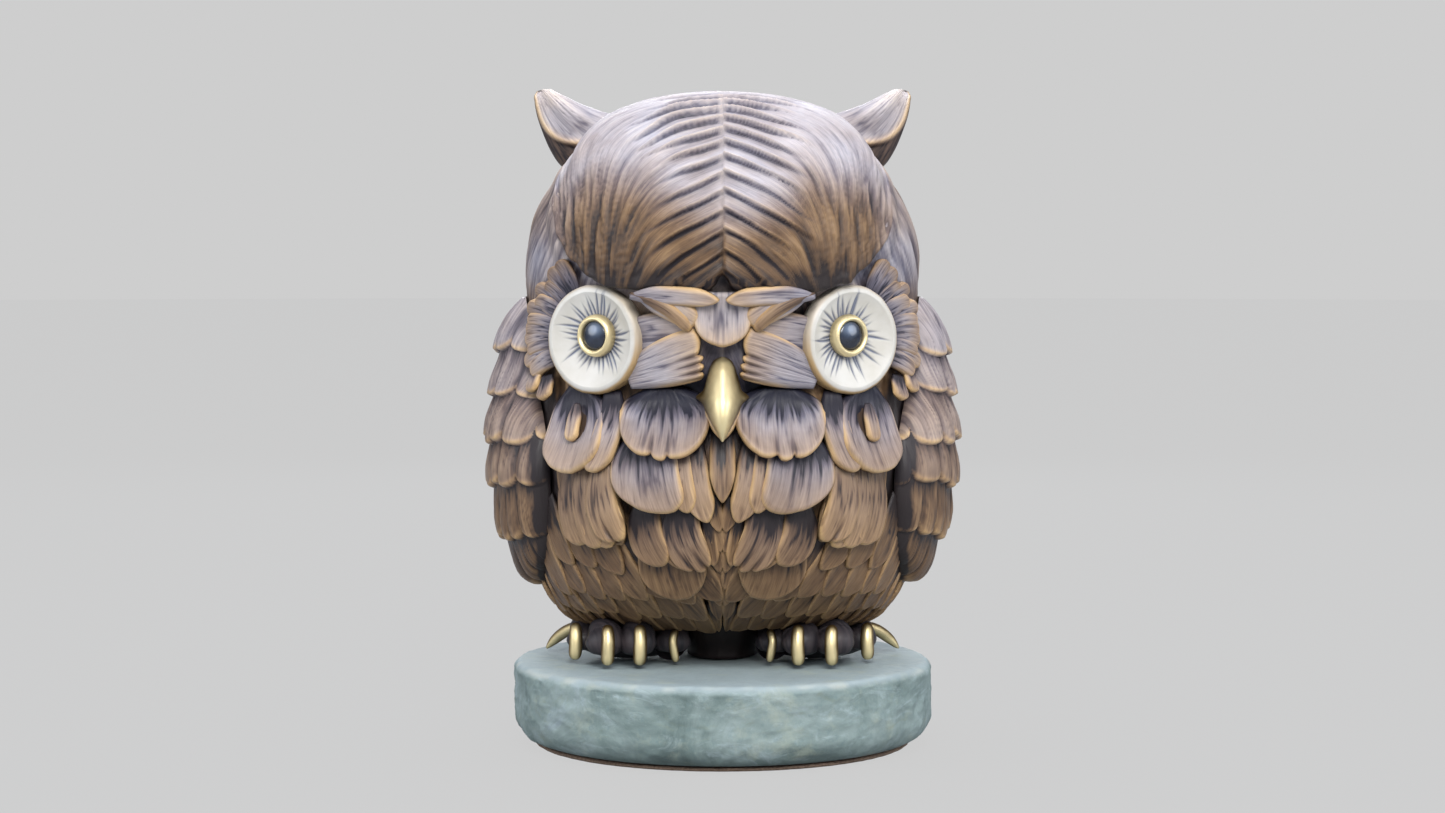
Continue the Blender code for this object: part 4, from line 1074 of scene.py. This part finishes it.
def belly_span(z):
    """From beside the belly leaves to just under the wing's front edge."""
    start = 5.0 if z < 50 else 26.0 + 0.4 * (z - 50)
    end = FLANK if z < UNDER_WINGS else float(wing_edges(np.array(z))[0]) - 11
    return arc_at(start, z), ARC * math.radians(end)


def back_span(z):
    """From the wing's back edge, or from under the crown's side, to the middle of the back."""
    start = 108 if z >= 120 else wing_edges(np.array(z))[1] - 6
    return ARC * math.radians(float(FLANK if z < UNDER_WINGS else start)), ARC * math.pi


def make_plumage(material):
    """Feathers on the body's own block: the lower belly and flanks, and the back and nape."""
    for side, hand in SIDES:
        place = body_place(side)
        belly = Patch()
        scattered_rows(belly, place, BELLY_ROWS, belly_span, 500 + side, seat=0.1, lift=1.5, thick=1.5,
                       bend=1.6, rounding=1.8, point=1.5, groove=0.34, spacing=0.95, tone=0.31, edge=0.28,
                       shade=0.38, size=(20, 30))
        for z, x in MIDDLE_FEATHERS:
            petal(belly, place, (x + 2.4, z + 9.0), (x, z - 1.0), 2.2, seat=0.6, lift=0.9, thick=1.3,
                  rounding=2.0, point=1.3, groove=0.25, tone=0.34, edge=0.2, size=(14, 20),
                  seed=int(z) + side)
        belly.build(f"belly_plumage_{hand}", material)
        back = Patch()
        scattered_rows(back, place, BACK_ROWS, back_span, 700 + side, seat=0.15, lift=1.5, thick=1.6,
                       rounding=1.0, groove=0.24, tone=0.42, edge=0.26, shade=0.4, haze=0.2, size=(18, 22))
        back.build(f"back_plumage_{hand}", material)


def make_tail(material):
    """A short fan of stiff feathers at the back, the middle one on top, under a row of shorter ones."""
    patch = Patch()
    low, high = box_mm("tail")
    place = body_place()
    stiff = dict(haze=0.2, tone=0.45)
    for step in (-3, 3, -2, 2, -1, 1, 0):
        root = (ARC * (math.pi + math.radians(3.2 * step)), high[2] + 3.0)
        tip = (ARC * (math.pi + math.radians(6.4 * step)), low[2] + 4.0 + 0.8 * step ** 2)
        petal(patch, place, root, tip, 4.0, seat=0.8 + 0.35 * (3 - abs(step)), lift=4.2, thick=2.2,
              rounding=1.1, groove=0.26, arch=0.6, size=(22, 36), seed=830 + step, **stiff)
    for step in (-2, 2, -1, 1, 0):
        s = ARC * (math.pi + math.radians(4.6 * step))
        root, tip = (s, high[2] + 12.0), (s, high[2] - 6.0 + 0.8 * step ** 2)
        petal(patch, place, root, tip, 3.6, seat=1.4, lift=3.6, thick=1.8, rounding=1.0, groove=0.24,
              size=(20, 26), seed=850 + step, **stiff)
    patch.build("tail_carving", material, ["tail"])


# ---------- ear tufts ----------

# From the head to the tip, in shares of the tuft's box: upper edge x and z, outer edge x and z, and then half
# the depth in mm
TUFT_SECTIONS = spline((
    (0.00, -0.24, 0.60, 0.42, -0.06, 6.6), (0.20, -0.02, 0.705, 0.66, 0.10, 6.6),
    (0.40, 0.18, 0.765, 0.80, 0.28, 6.2), (0.60, 0.42, 0.845, 0.915, 0.52, 5.2),
    (0.78, 0.60, 0.925, 0.985, 0.72, 4.4), (0.90, 0.74, 0.985, 1.01, 0.86, 3.4),
    (0.97, 0.82, 1.01, 1.01, 0.94, 2.0), (1.00, 0.89, 1.01, 0.98, 0.985, 0.7),
))


def tuft_point(t, q, h):
    """t from head to tip, q round the section from the upper edge over the front to the outer edge."""
    low, high = box_mm("ear_tuft_left")
    ux, uz, ox, oz, deep = TUFT_SECTIONS(t)
    share = 0.5 - 0.5 * np.cos(q)
    x = low[0] + (ux + (ox - ux) * share) * (high[0] - low[0])
    z = low[2] + (uz + (oz - uz) * share) * (high[2] - low[2])
    middle = (low[1] + high[1]) / 2 - 1.5 * t
    return np.stack([x, middle - (deep + h) * np.sin(q), z], -1)


def make_tufts(material):
    """Each tuft has a raised tongue and a hollow in front, and a gilded lip over an underside painted dark as
    shade.
    """
    t = np.sin(np.linspace(0, math.pi / 2, 100))[:, None]
    q = full_turn(120)
    t, q = np.broadcast_arrays(t, q)
    share = 0.5 - 0.5 * np.cos(q)
    front = (np.sin(q) > 0).astype(float)
    lines = grooves(share * 13 + 2.0 * t, t * 22, 60)
    tongue = np.exp(-(((t - 0.58) / 0.24) ** 2 + ((share - 0.36) / 0.22) ** 2) ** 2)
    lip = 0.52 + 0.45 * ramp(t, 0.0, 0.72)
    rim = np.exp(-((share - lip + 0.05) / 0.05) ** 2) * ramp(t, 0.02, 0.2)
    hollow = np.exp(-((share - 0.6 * lip) / 0.22) ** 2) * ramp(t, 0.05, 0.4)
    under = ramp(share, lip - 0.01, lip + 0.03)
    height = (0.9 * tongue + 0.9 * rim - 1.2 * hollow - 1.8 * under) * front
    height = height - 0.45 * lines * (0.4 + 0.6 * front)
    # Painted shade in the lines, the hollow and the underside, a painted bluish sheen on the front, and
    # lighter towards the tip; the rim is gilded.
    tone = 0.68 - 0.32 * lines + 0.30 * rim - 0.46 * under - 0.12 * hollow + 0.22 * ramp(t, 0.4, 1.0)
    painted_sheen = 0.95 - 0.75 * ramp(share, lip - 0.2, lip)
    strand = np.stack([share * 14, t * 26, np.full_like(t, 5.0)], -1)
    for side, hand in SIDES:
        patch = Patch()
        points = tuft_point(t, q, height) * np.array([side, 1.0, 1.0])
        loft(patch, points, tone, painted_sheen, strand, flip=side > 0)
        patch.build(f"ear_tuft_{hand}_carving", material, [f"ear_tuft_{hand}"])


# ---------- eyes, beak, feet ----------

EYE_YAW = math.radians(34.0)
DISC_RADIUS, DISC_DEEP, DISH = 15.4, 6.3, 3.0
DISC_RIM = 0.87  # the share of the disc's radius at which its dish ends and its rounded rim begins
RAYS = 36
RING_OUTER, RING_BORE = 5.9, 4.15
RING_UP = 1.1  # how far above the disc's middle the ring and pupil sit
# Down and round the ring's section from its outer foot to its inner one: radius and height
RING_PROFILE = (
    (RING_OUTER - 0.5, -3.2), (RING_OUTER, -2.6), (RING_OUTER + 0.1, -1.6), (RING_OUTER - 0.05, -0.7),
    (RING_OUTER - 0.5, 0.1), (RING_OUTER - 1.0, 0.42), (RING_OUTER - 1.4, 0.25), (RING_BORE, -0.3),
    (RING_BORE - 0.05, -1.2), (RING_BORE, -3.2),
)


def eye_frame(side):
    """The middle of the disc's front, and the disc's across, up and outward directions."""
    outward = np.array([side * math.sin(EYE_YAW), -math.cos(EYE_YAW), 0.0])
    across = np.array([math.cos(EYE_YAW), side * math.sin(EYE_YAW), 0.0])
    low, high = box_mm("eye_ring_left" if side > 0 else "eye_ring_right")
    middle = (low + high) / 2 + 1.65 * outward
    disc_low, disc_high = box_mm("eye_disc_left")
    middle[2] = (disc_low[2] + disc_high[2]) / 2
    return middle, across, np.array([0.0, 0.0, 1.0]), outward


def turned(frame_axes, radius, height, turn, centre_up=0.0):
    """Points of a turned shape in an eye's frame."""
    middle, across, up, outward = frame_axes
    x, y = radius * np.cos(turn), radius * np.sin(turn) + centre_up
    return middle + x[..., None] * across + y[..., None] * up + height[..., None] * outward


def inked_rays(radius, turn, seed):
    """How much ink lies in the carved rays, which start at the ring and taper off over the disc, and the
    painted shade round the ring.
    """
    rng = np.random.default_rng(seed)
    x, y = radius * np.cos(turn), radius * np.sin(turn) - RING_UP
    from_ring, ray_angle = np.hypot(x, y), np.arctan2(y, x)
    ink = np.zeros_like(from_ring)
    for k in range(RAYS):
        angle = (k + rng.uniform(-0.3, 0.3)) / RAYS * 2 * math.pi
        end = rng.uniform(9.6, 15.0)
        curve = rng.uniform(-0.02, 0.02)
        off = (ray_angle - angle - curve * (from_ring - 6) + math.pi) % (2 * math.pi) - math.pi
        wide = 0.48 * (1 - 0.6 * ramp(from_ring, 6.0, end))
        ink = np.maximum(ink, np.exp(-(off * from_ring / wide) ** 2) * (1 - ramp(from_ring, end - 4.5, end)))
    # The second value is painted shade in a band round the ring.
    return ink, 0.62 * np.exp(-((from_ring - 5.6) / 1.3) ** 2)


def make_disc(side, hand, paint):
    """A dished, slightly oval disc with inked rays and painted shade round the ring, worn golden along its
    rim and down its wall.
    """
    turn = full_turn(380)
    stretches = (0.02, 0.30, 6), (0.32, 0.98, 84), (0.985, 1.0, 6)
    face = np.concatenate([np.linspace(*stretch) for stretch in stretches])
    share = face[:, None]
    outline = DISC_RADIUS * (1 + 0.012 * np.cos(2 * turn) + 0.010 * noise(turn * 5, 0, 7))
    outline = outline + 0.9 * side * np.cos(turn)
    radius = share * outline
    rim = np.sqrt(np.maximum(1 - ((share - DISC_RIM) / (1 - DISC_RIM)) ** 2, 0))
    bowl = -DISH + DISH * np.clip(share / DISC_RIM, 0, 1) ** 2.4
    height = np.where(share < DISC_RIM, bowl, -1.7 + 1.7 * rim) * np.ones_like(turn)
    ink, shadow = inked_rays(radius, turn, 12 if side > 0 else 13)
    height = height - 0.35 * ink * (share < DISC_RIM - 0.01)
    wall = np.array([(1.0, -2.4), (0.995, -4.0), (0.97, -DISC_DEEP + 0.5), (0.93, -DISC_DEEP)])
    wall_radius, wall_height = wall[:, :1] * outline, wall[:, 1:] * np.ones_like(turn)
    # tone holds the ink and the painted shade round the ring.
    tone = np.concatenate([np.maximum(ink * 0.95, shadow), np.zeros_like(wall_radius)])
    worn = np.concatenate([ramp(face, 0.925, 0.975)[:, None], np.ones((len(wall), 1))])
    worn = worn * (0.35 + 0.65 * ramp(-np.sin(turn), -0.3, 0.5))
    points = turned(eye_frame(side), np.concatenate([radius, wall_radius]),
                    np.concatenate([height, wall_height]), turn)
    disc = Patch()
    loft(disc, points, tone, worn, np.zeros(3), flip=side > 0)
    disc.build(f"eye_disc_{hand}_paint", paint, [f"eye_disc_{hand}"])


def make_ring(side, hand, turn, brass):
    stations = np.arange(len(RING_PROFILE))
    smooth = spline(np.column_stack([stations, RING_PROFILE]))(np.linspace(0, stations[-1], 48))
    radius, height = smooth[0][:, None] + 0 * turn, smooth[1][:, None] + 0 * turn
    radius = radius * (1 + 0.012 * (noise(turn * 4, 1, 3) - 0.5))
    ring = Patch()
    index = ring.add_points(turned(eye_frame(side), radius, height, turn, RING_UP),
                            0.55 + 0.3 * ramp(height, -1.2, 0.4), 0.0, np.zeros(3))
    ring.add_grid(np.concatenate([index, index[:1]]), flip=side > 0, wrap=True)
    ring.build(f"eye_ring_{hand}_brass", brass, [f"eye_ring_{hand}"])


def make_pupil(side, hand, turn, glass):
    """A flattened glass ball, with a painted highlight on its upper inner side."""
    dome = np.linspace(0.02, math.pi - 0.02, 50)[:, None]
    points = turned(eye_frame(side), RING_BORE * np.sin(dome) + 0 * turn,
                    -1.1 + 1.5 * np.cos(dome) + 0 * turn, turn, RING_UP)
    # A painted highlight, paler on the upper inner side.
    glint_x, glint_y = np.sin(dome) * np.cos(turn), np.sin(dome) * np.sin(turn)
    painted_glint = np.exp(-((glint_x + 0.2 * side) / 0.55) ** 2 - ((glint_y - 0.45) / 0.42) ** 2) * (dome < 1.6)
    pupil = Patch()
    loft(pupil, points, painted_glint, 0.0, np.zeros(3), flip=side > 0)
    pupil.build(f"eye_pupil_{hand}_glass", glass, [f"eye_pupil_{hand}"])


def make_eyes(paint, brass, glass):
    turn = full_turn(120)
    for side, hand in SIDES:
        make_disc(side, hand, paint)
        make_ring(side, hand, turn, brass)
        make_pupil(side, hand, turn, glass)


# Down the beak, in shares of its height from the top: half width, ridge and cheeks forward of the top, in mm
BEAK_LINE = spline((
    (0.00, 0.5, 49.0, 48.6), (0.03, 2.0, 51.4, 48.2), (0.10, 3.2, 54.2, 47.4), (0.20, 4.0, 56.9, 47.0),
    (0.30, 4.6, 58.8, 46.8), (0.42, 5.2, 60.6, 46.8), (0.52, 5.5, 61.8, 47.6), (0.62, 5.0, 62.4, 49.6),
    (0.77, 3.2, 62.4, 54.4), (0.90, 1.5, 61.4, 57.6), (0.97, 0.7, 60.4, 58.8), (1.00, 0.2, 60.0, 59.6),
))


def make_beak(gold):
    """A ridged beak that flares into two points at its sides. It is brightest along its ridge, as wear and a
    painted highlight where it faces the front, with painted shade at its sides.
    """
    patch = Patch()
    low, high = box_mm("beak")
    t = np.linspace(0, 1, 110)
    half, ridge, cheek = (row[:, None] for row in BEAK_LINE(t))
    turn = full_turn(96)
    flare = 1.9 * np.exp(-((t[:, None] - 0.49) / 0.055) ** 2)
    x = half * np.sin(turn) + flare * np.sign(np.sin(turn)) * np.abs(np.sin(turn)) ** 14
    forward = np.cos(turn)
    bulge = np.where(forward > 0, (ridge - cheek) * np.maximum(forward, 0) ** 1.1, 0)
    inward = np.where(forward < 0, np.minimum(cheek - 42.0, 6.0) * np.maximum(-forward, 0), 0)
    y = -(cheek + bulge - inward)
    z = high[2] + (low[2] - high[2]) * t[:, None] + 0 * turn
    # Wear and a painted highlight where the beak faces the front, painted shade at its sides, darker at its
    # top.
    pale_amount = 0.02 + 0.75 * np.maximum(forward, 0) ** 1.5 + 0.4 * ramp(t, 0.7, 1.0)[:, None]
    pale_amount = pale_amount - 0.25 * (1 - ramp(t, 0.0, 0.12))[:, None]
    strand = np.stack([x, z, 0 * x], -1)
    loft(patch, np.stack([x, y, z], -1), pale_amount, 0.0, strand, flip=True)
    patch.build("beak_gilt", gold, ["beak"])


CLAW_SHIFT = (1.0, -1.4, 0.0)  # how far out, forward and up a claw's line lies from its CAD box
OUTERMOST, SPUR = 4, 5  # the numbers of a foot's outermost front claw and of the one behind it
TOE_OUT = {OUTERMOST: -1.8}  # how far out a toe lies from its claw, where it isn't 1 mm


def spur_path(low, high, side):
    """The claw behind the outermost toe: out, back and down to its point."""
    inner, outer = (low[0], high[0]) if side > 0 else (high[0], low[0])
    return [
        (inner, low[1] + 1.6, high[2] - 1.6),
        (0.6 * inner + 0.4 * outer, 0.45 * low[1] + 0.55 * high[1], 31.4),
        (0.3 * inner + 0.7 * outer, high[1] - 1.6, 28.6),
        (outer - side * 0.8, high[1] - 0.9, low[2] + 0.9),
    ]


def claw_path(low, high, bow):
    """A front claw: over the toe and down its front to the stone, bowed sideways."""
    middle = (low + high) / 2
    return [
        (middle[0] - bow, high[1] - 1.5, high[2] - 1.2), (middle[0], low[1] + 3.2, high[2] - 1.4),
        (middle[0] + bow, low[1] + 1.9, middle[2] + 1.6), (middle[0], low[1] + 1.7, low[2] + 3.4),
        (middle[0] - bow, low[1] + 1.9, low[2] + 1.0),
    ]


def toe_path(low, high, side, number):
    """From under the belly over the knuckle and down behind the claw."""
    middle = (low + high) / 2
    x = middle[0] + side * TOE_OUT.get(number, 1.0)
    return [
        (middle[0] * 0.97, 3.0, 32.6), (x, low[1] + 12.0, high[2] - 3.6), (x, low[1] + 8.2, high[2] - 4.4),
        (x, low[1] + 6.8, middle[2] + 0.2), (x, low[1] + 6.6, low[2] + 3.2),
    ]


def add_sole(patch, side, ground):
    """The low mound under the belly that the toes come out of, flat where it meets the stone."""
    dome = np.linspace(0.05, math.pi - 0.05, 30)[:, None]
    turn = full_turn(60)
    middle, sizes = np.array([side * 27.0, -2.5, ground + 5.4]), np.array([16.5, 11.5, 5.4])
    ball = np.stack([np.sin(dome) * np.cos(turn), np.sin(dome) * np.sin(turn), np.cos(dome) + 0 * turn], -1)
    loft(patch, np.maximum(middle + sizes * ball, [-99, -99, ground + 0.02]), 0.06, 0.0, np.zeros(3))


def make_feet(skin, gold):
    for side, hand in SIDES:
        toes = Patch()
        for number in range(1, SPUR + 1):
            node = f"claw_{hand}_{number}"
            low, high = (corner + np.multiply(CLAW_SHIFT, (side, 1, 1)) for corner in box_mm(node))
            if number == SPUR:
                path, widths = spur_path(low, high, side), (1.5, 1.75, 1.5, 0.5)
            else:
                innermost = number == 1
                path = claw_path(low, high, 0.5 * side * (1 if innermost else -0.3))
                widths = [wide * (0.66 if innermost else 1.0) for wide in (1.2, 1.75, 1.95, 1.95, 1.6)]
                toe_widths = (4.0, 3.8, 3.9, 3.8, 3.0) if number == OUTERMOST else (4.0, 4.5, 4.7, 4.6, 3.6)
                add_limb(toes, toe_path(low, high, side, number), toe_widths, 1.2, number + 10, tone=0.06,
                         knuckles=0.2)
            claw = Patch()
            add_limb(claw, path, widths, 0.98, number, tone=0.55, knuckles=0.0)
            claw.build(f"{node}_gilt", gold, [node])
        add_sole(toes, side, box_mm(f"foot_{hand}")[0][2])
        toes.build(f"foot_{hand}_carving", skin, [f"foot_{hand}"])


def add_limb(patch, path, widths, flat, seed, tone, knuckles):
    """A toe or claw: a rounded tube along a smooth path, with soft folds across it.

    A claw is the one without knuckles. It has a painted highlight in front and painted shade at its sides.
    """
    columns = 28
    t = np.concatenate([[0.0], np.linspace(0.01, 0.99, 44), [1.0]])
    x, y, z, wide = spline(np.column_stack([np.linspace(0, 1, len(path)), path, widths]))(t)
    ends = np.sqrt(np.maximum(1 - np.abs(2 * t - 1) ** 10, 0.0004))
    folds = knuckles * np.abs(np.sin(t * math.pi * 3.5)) ** 0.5
    wide = wide * ends * (1 - 0.09 * knuckles + 0.16 * folds)
    rings = tube(np.stack([x, y, z], -1), wide * flat, wide, columns, up=(0.2, 0.97, 0.15))
    turn, t = np.arange(columns)[None, :] * 0.4, t[:, None]
    front_highlight = np.clip((y[:, None] - rings[..., 1]) / (wide[:, None] + 0.01), 0, 1)
    shade = tone + 0.22 * folds[:, None] + 0.1 * (noise(t * 9, turn, seed) - 0.5)
    # A claw's painted highlight in front and painted shade at its sides.
    shade = shade + (0.8 * front_highlight ** 3 - 0.50) * (knuckles == 0)
    strand = np.stack(np.broadcast_arrays(turn, t * 12, float(seed)), -1)
    loft(patch, rings, shade, 0.35 * knuckles, strand)


# ---------- base ----------

STONE_LOW, STONE_HIGH = box_mm("stone_base")
STONE_RADIUS = STONE_HIGH[0]
STONE_FOOT, STONE_LIP = 8.0, 2.6  # the radii of its rounded lower and upper edges


def stone_profile():
    """Radius and height from the middle of the underside round to the middle of the top."""
    low, high = STONE_LOW[2], STONE_HIGH[2]
    foot, lip = STONE_RADIUS - STONE_FOOT, STONE_RADIUS - STONE_LIP
    quarter = np.linspace(0, math.pi / 2, 18)[1:]
    profile = [(r, low) for r in np.linspace(0.5, foot, 26)]
    profile += [(foot + STONE_FOOT * math.sin(a), low + STONE_FOOT * (1 - math.cos(a))) for a in quarter]
    profile += [(STONE_RADIUS, z) for z in np.linspace(low + STONE_FOOT, high - STONE_LIP, 26)[1:]]
    profile += [(lip + STONE_LIP * math.cos(a), high - STONE_LIP + STONE_LIP * math.sin(a)) for a in quarter]
    return np.array(profile + [(r, high) for r in np.linspace(lip, 0.5, 80)[1:]])


def make_stone(stone):
    """A rounded disc of stone: rough at the side, smoother on top, worn along its upper edge."""
    profile = stone_profile()
    tangent = np.gradient(profile, axis=0)
    tangent /= np.linalg.norm(tangent, axis=1, keepdims=True)
    turn = full_turn(420)
    r, z = profile[:, :1], profile[:, 1:]
    x, y, high = r * np.cos(turn), r * np.sin(turn), STONE_HIGH[2]
    arc, lap = turn * STONE_RADIUS, 2 * math.pi * STONE_RADIUS
    wrap = np.minimum(turn / 0.35, 1)  # brings the noise back to where it started

    def round_noise(scale, seed):
        ahead, behind = (noise(way * scale, z * scale * 1.3, seed) for way in (arc, arc + lap))
        return ahead * wrap + behind * (1 - wrap)

    top = ramp(z, high - STONE_LIP, high - 0.2)
    rim = np.exp(-((z - (high - 1.0)) / 0.8) ** 2) * (r > STONE_RADIUS - 4)
    rough_side = 1.0 * (round_noise(0.10, 5) - 0.5) + 0.55 * (round_noise(0.30, 6) - 0.5)
    rough_side = rough_side + 0.35 * (round_noise(0.9, 7) - 0.5) - 0.5 * rim * round_noise(0.22, 8)
    rough_top = 0.30 * (noise(x * 0.12, y * 0.12, 9) - 0.8) + 0.22 * (noise(x * 0.5, y * 0.5, 10) - 0.8)
    rise = (rough_side * (1 - top) + rough_top * top) * ramp(z, STONE_LOW[2], STONE_LOW[2] + 2.5)
    reach = r + rise * tangent[:, 1:]
    points = np.stack([reach * np.cos(turn), reach * np.sin(turn), z - rise * tangent[:, :1]], -1)
    # Wear along the upper edge and on the shoulder of the top.
    pale_amount = rim * ramp(round_noise(0.18, 11), 0.45, 0.75) * 0.35
    shoulder = np.exp(-((r - STONE_RADIUS + 3) / 3) ** 2) * top
    pale_amount = pale_amount + 0.10 * shoulder * ramp(noise(x * 0.4, y * 0.4, 12), 0.45, 0.8)
    patch = Patch()
    # 0.75 * top paints a pale bluish sheen on the top, as the sky's reflection.
    loft(patch, points, pale_amount, 0.75 * top, np.zeros(3))
    patch.build("stone_base_carving", stone, ["stone_base"])


def make_pad(cloth):
    """The felt under the stone, with a fuzzy edge."""
    low, high = (corner[2] for corner in box_mm("base_pad"))
    radius = 55.0
    profile = np.array([
        (2.0, low), (30.0, low), (radius - 0.6, low), (radius - 0.1, 0.3), (radius, 0.6),
        (radius - 0.3, high), (30.0, high), (2.0, high),
    ])
    turn = full_turn(240)
    reach = profile[:, :1] * (1 - 0.006 * noise(turn * 40, 0, 2))
    pad = Patch()
    loft(pad, np.stack([reach * np.cos(turn), reach * np.sin(turn), profile[:, 1:] + 0 * turn], -1), 0.0, 0.0,
         np.zeros(3))
    pad.build("base_pad_felt", cloth, ["base_pad"])


# ---------- lights, camera, floor ----------

PALE_GREY = (0.617, 0.617, 0.617, 1.0)
FLOOR_RADIUS, FLOOR_DROP = 6.0, 0.0004  # in metres
CAMERA_PLACE, CAMERA_TARGET, CAMERA_LENS = (0, -0.9, 0.1494), (0, 0, 0.0981), 76.8


def mixed_shader(tree, factor, unseen, seen):
    """A shader that is one thing to the camera and another to the light that falls on the owl."""
    both = tree.nodes.new("ShaderNodeMixShader")
    for output, target in zip((factor, unseen, seen), both.inputs):
        tree.links.new(output, target)
    return both.outputs[0]


def make_floor():
    """A pale grey floor that seems to run on into the surround. What it lights the owl with is darker."""
    floor = Nodes("studio_floor")
    seen = floor.add("ShaderNodeLightPath").outputs["Is Camera Ray"]
    glow = floor.add("ShaderNodeEmission")
    glow.inputs["Color"].default_value = PALE_GREY
    dim = floor.add("ShaderNodeBsdfDiffuse")
    dim.inputs["Color"].default_value = (0.30, 0.31, 0.32, 1.0)
    both = mixed_shader(floor.tree, floor.math("MULTIPLY", seen, 0.96), dim.outputs[0], glow.outputs[0])
    floor.link(both, floor.tree.nodes["Material Output"].inputs["Surface"])
    bpy.ops.mesh.primitive_circle_add(vertices=96, radius=FLOOR_RADIUS, fill_type="NGON")
    disc = bpy.context.object
    disc.name = "floor"
    disc.location.z = -FLOOR_DROP
    disc.data.materials.append(floor.material)


def make_world():
    """A plain pale surround, which lights the owl softly, paler and bluer from above."""
    world = bpy.data.worlds.new("studio")
    world.use_nodes = True
    tree = world.node_tree
    plain = tree.nodes["Background"]
    plain.inputs["Color"].default_value = PALE_GREY
    seen = tree.nodes.new("ShaderNodeLightPath").outputs["Is Camera Ray"]
    sky = tree.nodes.new("ShaderNodeBackground")
    height = tree.nodes.new("ShaderNodeSeparateXYZ")
    tree.links.new(tree.nodes.new("ShaderNodeTexCoord").outputs["Generated"], height.inputs[0])
    shades = tree.nodes.new("ShaderNodeValToRGB")
    tree.links.new(height.outputs["Z"], shades.inputs["Fac"])
    shades.color_ramp.elements[0].color = (0.29, 0.29, 0.30, 1.0)
    shades.color_ramp.elements[1].color = (0.72, 0.75, 0.84, 1.0)
    tree.links.new(shades.outputs["Color"], sky.inputs["Color"])
    both = mixed_shader(tree, seen, sky.outputs[0], plain.outputs[0])
    tree.links.new(both, tree.nodes["World Output"].inputs["Surface"])
    bpy.context.scene.world = world
    bpy.context.scene.view_settings.view_transform = "Standard"


def add_aimed(name, data, place, target):
    """An object for a light or camera, at place and facing target. Both are in metres."""
    thing = bpy.data.objects.new(name, data)
    bpy.context.scene.collection.objects.link(thing)
    thing.location = place
    thing.rotation_euler = (Vector(target) - Vector(place)).to_track_quat("-Z", "Y").to_euler()
    return thing


def area_light(name, place, target, size, power, colour):
    data = bpy.data.lights.new(name, "AREA")
    data.shape = "DISK"
    data.size = size
    data.energy = power
    data.color = colour
    add_aimed(name, data, place, target)


def make_lights():
    area_light("key_front", (0.10, -0.95, 0.75), (0, 0, 0.11), 0.6, 15.0, (1.0, 0.985, 0.965))
    area_light("sky_top", (0.0, 0.10, 1.05), (0, 0, 0.15), 0.8, 11.0, (0.87, 0.91, 1.0))
    for side, hand in SIDES:
        area_light(f"side_{hand}", (side * 0.80, -0.30, 0.35), (0, 0, 0.1), 0.5, 3.4, (0.93, 0.96, 1.0))
    area_light("back", (0.0, 0.95, 0.5), (0, 0, 0.1), 0.7, 6.0, (0.95, 0.97, 1.0))


def make_camera():
    data = bpy.data.cameras.new("camera")
    data.lens = CAMERA_LENS
    data.sensor_width = 36.0
    bpy.context.scene.camera = add_aimed("camera", data, CAMERA_PLACE, CAMERA_TARGET)


def dress_hidden(materials):
    """The screws and dowels keep their CAD shapes, and get their metal and wood."""
    for node, material in materials.items():
        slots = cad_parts[node].data.materials
        slots.clear()
        slots.append(material)


make_camera()
make_floor()
make_world()
make_lights()
WOOD = carved_wood("dark_carved_wood", (0.018, 0.013, 0.013), (0.110, 0.064, 0.034), (0.265, 0.166, 0.083),
                   (0.48, 0.315, 0.145))
SKIN = carved_wood("foot_wood", (0.012, 0.011, 0.014), (0.060, 0.045, 0.045), (0.15, 0.11, 0.095),
                   (0.40, 0.30, 0.16))
# The gold of the beak and claws, with their painted highlights and shade.
GOLD = old_gold("gold_rub_and_highlight", (0.70, 0.59, 0.34), (0.12, 0.075, 0.025), 0.42)
BRASS = old_gold("eye_brass", (0.74, 0.62, 0.36), (0.24, 0.165, 0.07), 0.38)
STEEL = old_gold("screw_steel", (0.55, 0.56, 0.58), (0.25, 0.25, 0.26), 0.30)
DOWEL = carved_wood("dowel_wood", (0.24, 0.15, 0.08), (0.42, 0.29, 0.17), (0.58, 0.43, 0.27),
                    (0.66, 0.52, 0.36))
make_core(WOOD)
make_crown(WOOD)
for side, hand in SIDES:
    make_wing(side, hand, WOOD)
make_leaves(WOOD)
make_middle(WOOD)
make_bands(WOOD)
make_plumage(WOOD)
make_tail(WOOD)
make_tufts(WOOD)
make_eyes(ivory(), BRASS, black_glass())
make_beak(GOLD)
make_feet(SKIN, GOLD)
make_stone(green_stone())
make_pad(felt())
dress_hidden({node: STEEL if "screw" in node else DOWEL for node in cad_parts
              if "screw" in node or "dowel" in node})
